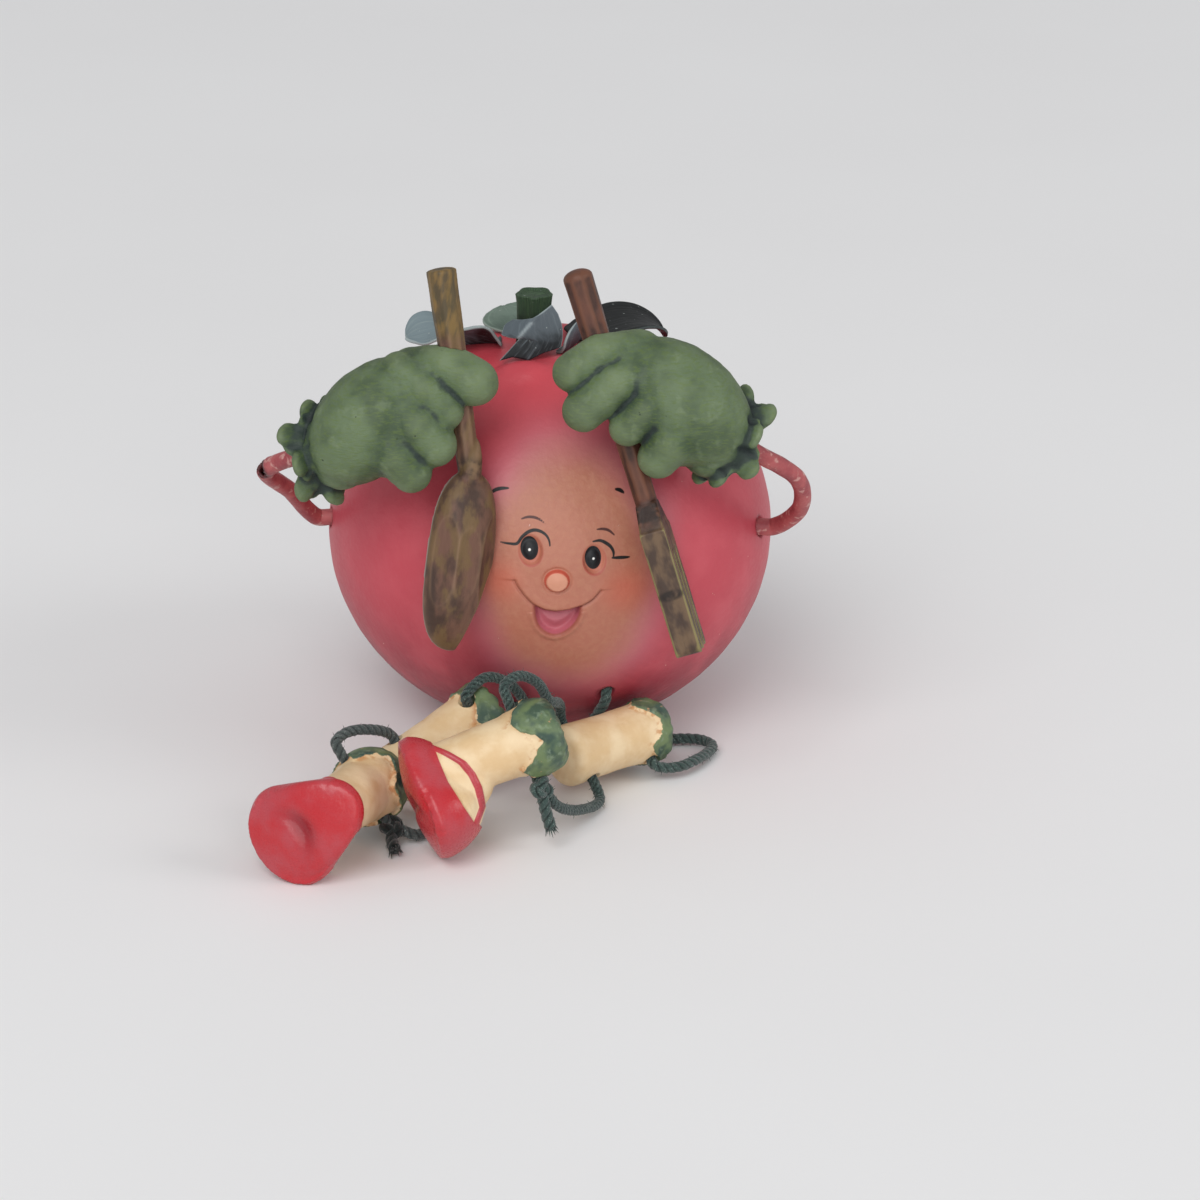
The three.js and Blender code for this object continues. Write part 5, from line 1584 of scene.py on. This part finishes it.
def limb_hole(inset, roll, reach):
    """A drill for the cord, straight across a limb"""
    across = Vector((0, -math.sin(math.radians(roll)), math.cos(math.radians(roll)))) * reach
    middle = Vector((inset, 0, 0))
    return drill(middle - across, middle + across, CORD_HOLE)


def lathe(profile, stations, steps):
    """A closed turned form along x from distance and radius"""
    along, radius = zip(*profile)
    outline = [(d, np.interp(d, along, radius), 0) for d in np.linspace(along[0], along[-1], stations)]
    return spun([(along[0], 0, 0), *outline, (along[-1], 0, 0)], (1, 0, 0), steps)


def leaf_ring(points, reach, seed):
    """Distance inside a ring of leaf points that hangs from the limb's upper end"""
    angle = np.arctan2(points[:, 2], points[:, 1])
    lobe = np.abs(((angle * LEAF_POINTS / (2 * math.pi) + seed) % 1.0) * 2 - 1)
    torn = 0.6 * ripple(points, 0.5, seed) + 0.25 * ripple(points, 1.5, seed)
    return reach * (0.6 + 0.7 * (1 - lobe)) + torn - points[:, 0]


def leaf_relief(leaf):
    return LEAF_RISE * ease(leaf, -0.1, 0.25) + LEAF_LIP * np.exp(-((leaf - 0.15) / 0.35) ** 2)


print("cord holes are", 2 * CORD_HOLE, "mm across")

# %% Thighs
THIGH_LENGTH = 15.2
THIGH_RADIUS = 3.75
THIGH_LEAF = 2.9
THIGH_RAGGED = 0.4
THIGH_DENTS = 0.06
HOLE_INSET = 2.8
THIGHS = {
    "left": dict(place=limb_place((-6.88, -27.60, 10.65), -145.8, -22.6), hip=-15, knee=20, seed=0.2),
    "right": dict(place=limb_place((12.76, -21.23, 5.26), -138, 2), hip=45, knee=45, seed=0.55),
}
THIGH_PROFILE = [(0, 2.9), (0.35, 3.4), (0.9, 3.7), (3.2, 3.66), (7.6, 3.5), (12, 3.66), (14.3, 3.74),
                 (14.85, 3.4), (15.2, 2.8)]
for side, limb in THIGHS.items():
    mesh = to_mesh(lathe(THIGH_PROFILE, 64, 96), "thigh")
    points = points_of(mesh)
    leaf = leaf_ring(points, THIGH_LEAF, limb["seed"])
    ragged = THIGH_RAGGED * ripple(points, 1.1, 6.0) * (1 - ease(points[:, 0], 0.3, 1.9))
    push_out(mesh, leaf_relief(leaf) + ragged + THIGH_DENTS * ripple(points, 0.4, 2.0))
    reach = THIGH_RADIUS + 2
    hip_hole = limb_hole(HOLE_INSET, limb["hip"], reach)
    knee_hole = limb_hole(THIGH_LENGTH - HOLE_INSET, limb["knee"], reach)
    mesh = cut(mesh, [hip_hole, knee_hole])
    points = points_of(mesh)
    none = np.zeros(len(points))
    carry(mesh, leaf=leaf_ring(points, THIGH_LEAF, limb["seed"]), shoe=none - 9, strap=none + 9, dent=none)
    node = "thigh_" + side
    piece(node + "_cast", mesh, [leg_paint], node, [node], limb["place"])

# %% Shoes: forms and lines
SHIN_LENGTH = 18.0
CUFF_RADIUS = 4.4
CUFF_HOLE = 4.2
TOE = ((SHIN_LENGTH, 0, 4.64), (13.8, 11.8, 9.7))
HEEL = ((SHIN_LENGTH, 0, 0.0), (9.4, 8.0, 10.2))
INSTEP = ((SHIN_LENGTH - 4.5, 0, 2.0), (9.3, 6.9, 8.0))
SOLE_ROUND = 1.1
FLOOR_GAP = 0.02
CUFF_LEAF = 4.4
CUFF_RAGGED = 0.25
SHOE_VOXEL = 0.22
SHOE_RISE = 0.3
SHOE_DENTS = 0.05
STRAP_RISE = 0.28
STRAP_HALF = 0.38
SOLE_MIDDLE = 2.2
SOLE_DOME = 1.2
DOME_REACH = (5.6, 7.0)
DENT_DEPTH = 0.9
OPENING = [(-4.5, 3.7), (-2.9, 3.6), (-1.3, 3.5), (1.8, 3.5), (5.1, 4.1), (7.2, 4.8), (8.8, 9.0)]
STRAP_ARC = [(-3.2, 3.0), (-1.6, 4.5), (0.2, 5.9), (1.8, 6.5), (3.5, 6.7), (5.6, 6.5), (8.0, 4.4)]
SHIN_PROFILE = [(0, 3.0), (0.4, 3.7), (0.9, 4.05), (2.4, 4.38), (4.2, 4.2), (6, 3.7), (9.9, 3.6),
                (12, 3.48), (17, 3.3)]
SHINS = {
    "left": dict(place=limb_place((-19.89, -37.69, 5.66), -109.6, 8.8), toe=127, hole=40, seed=0.35),
    "right": dict(place=limb_place((1.17, -41.19, 13.69), -164.7, -15.1), toe=-148, hole=28, seed=0.8),
}


def egg_skin(bm, *eggs):
    """The skin stretched over a few eggs, cut flat at the sole"""
    points = bmesh.new()
    for centre, size in eggs:
        ball(points, Matrix.Translation(centre), size, 40, 28)
    skin = bmesh.new()
    for vert in points.verts:
        skin.verts.new(vert.co)
    points.free()
    hull = bmesh.ops.convex_hull(skin, input=skin.verts[:])
    inner = [v for v in hull["geom_interior"] if isinstance(v, bmesh.types.BMVert)]
    bmesh.ops.delete(skin, geom=inner, context="VERTS")
    cut_line = bmesh.ops.bisect_plane(skin, geom=skin.verts[:] + skin.edges[:] + skin.faces[:],
                                      plane_co=(SHIN_LENGTH, 0, 0), plane_no=(1, 0, 0), clear_outer=True)
    rim = [e for e in cut_line["geom_cut"] if isinstance(e, bmesh.types.BMEdge)]
    bmesh.ops.contextual_create(skin, geom=rim)
    bmesh.ops.bevel(skin, geom=rim, offset=SOLE_ROUND, segments=4, profile=0.5, affect="EDGES", material=-1)
    bmesh.ops.recalc_face_normals(skin, faces=skin.faces)
    half = to_mesh(skin, "egg_skin")
    bm.from_mesh(half)
    bpy.data.meshes.remove(half)


def shoe_lines(points):
    """Distances inside the shoe and from its strap, with the toe along z"""
    height, ahead = SHIN_LENGTH - points[:, 0], points[:, 2]
    opening, arc = (np.interp(ahead, *zip(*line)) for line in (OPENING, STRAP_ARC))
    return opening - height, np.abs(height - arc) / 1.2 - STRAP_HALF


def on_sole(points):
    return ease(points[:, 0], SHIN_LENGTH - 1.2, SHIN_LENGTH - 0.2)


def sole_dent(points):
    """A short swirl pressed into the middle of the sole"""
    bend = points[:, 2] - SOLE_MIDDLE - 0.12 * points[:, 1] ** 2
    return np.exp(-(points[:, 1] / 2.6) ** 2 - (bend / 1.2) ** 2) * on_sole(points)


print("sole at", SHIN_LENGTH, "mm from the knee end")

# %% Shins and shoes
for side, limb in SHINS.items():
    bm = lathe(SHIN_PROFILE, 40, 48)
    egg_skin(bm, TOE, HEEL)
    egg_skin(bm, INSTEP)
    mesh = fused(bm, SHOE_VOXEL, 5)
    points = points_of(mesh)
    shoe, strap = shoe_lines(points)
    sole = on_sole(points)
    from_middle = (points[:, 1:] - (0, SOLE_MIDDLE)) / DOME_REACH
    dome = np.clip(1 - (from_middle ** 2).sum(1), 0, 1)
    relief = SHOE_RISE * ease(shoe, -0.12, 0.12) * (1 - sole)
    relief += STRAP_RISE * ease(-strap, -0.1, 0.2) * (shoe < 0) + SHOE_DENTS * ripple(points, 0.35, 8.0)
    relief += (SOLE_DOME * dome - DENT_DEPTH * sole_dent(points)) * sole
    roll = turned(limb["toe"], "X")
    roll_axes = np.array(roll.to_3x3())
    rolled = points @ roll_axes.T
    ragged = CUFF_RAGGED * ripple(rolled, 1.3, 6.0) * (1 - ease(rolled[:, 0], 0.2, 1.6))
    push_out(mesh, relief + leaf_relief(leaf_ring(rolled, CUFF_LEAF, limb["seed"])) + ragged)
    mesh.transform(roll)
    mesh = cut(mesh, [limb_hole(CUFF_HOLE, limb["hole"], CUFF_RADIUS + 2)])
    rolled = points_of(mesh)
    up = np.array(limb["place"])[2]
    rolled += np.clip(FLOOR_GAP - rolled @ up[:3] - up[3], 0, None)[:, None] * up[:3]
    move_points(mesh, rolled)
    straight = rolled @ roll_axes
    shoe, strap = shoe_lines(straight)
    leaf = leaf_ring(rolled, CUFF_LEAF, limb["seed"])
    carry(mesh, leaf=leaf, shoe=shoe, strap=strap, dent=sole_dent(straight))
    node = "shin_" + side
    piece(node + "_cast", mesh, [leg_paint], node, [node], limb["place"])
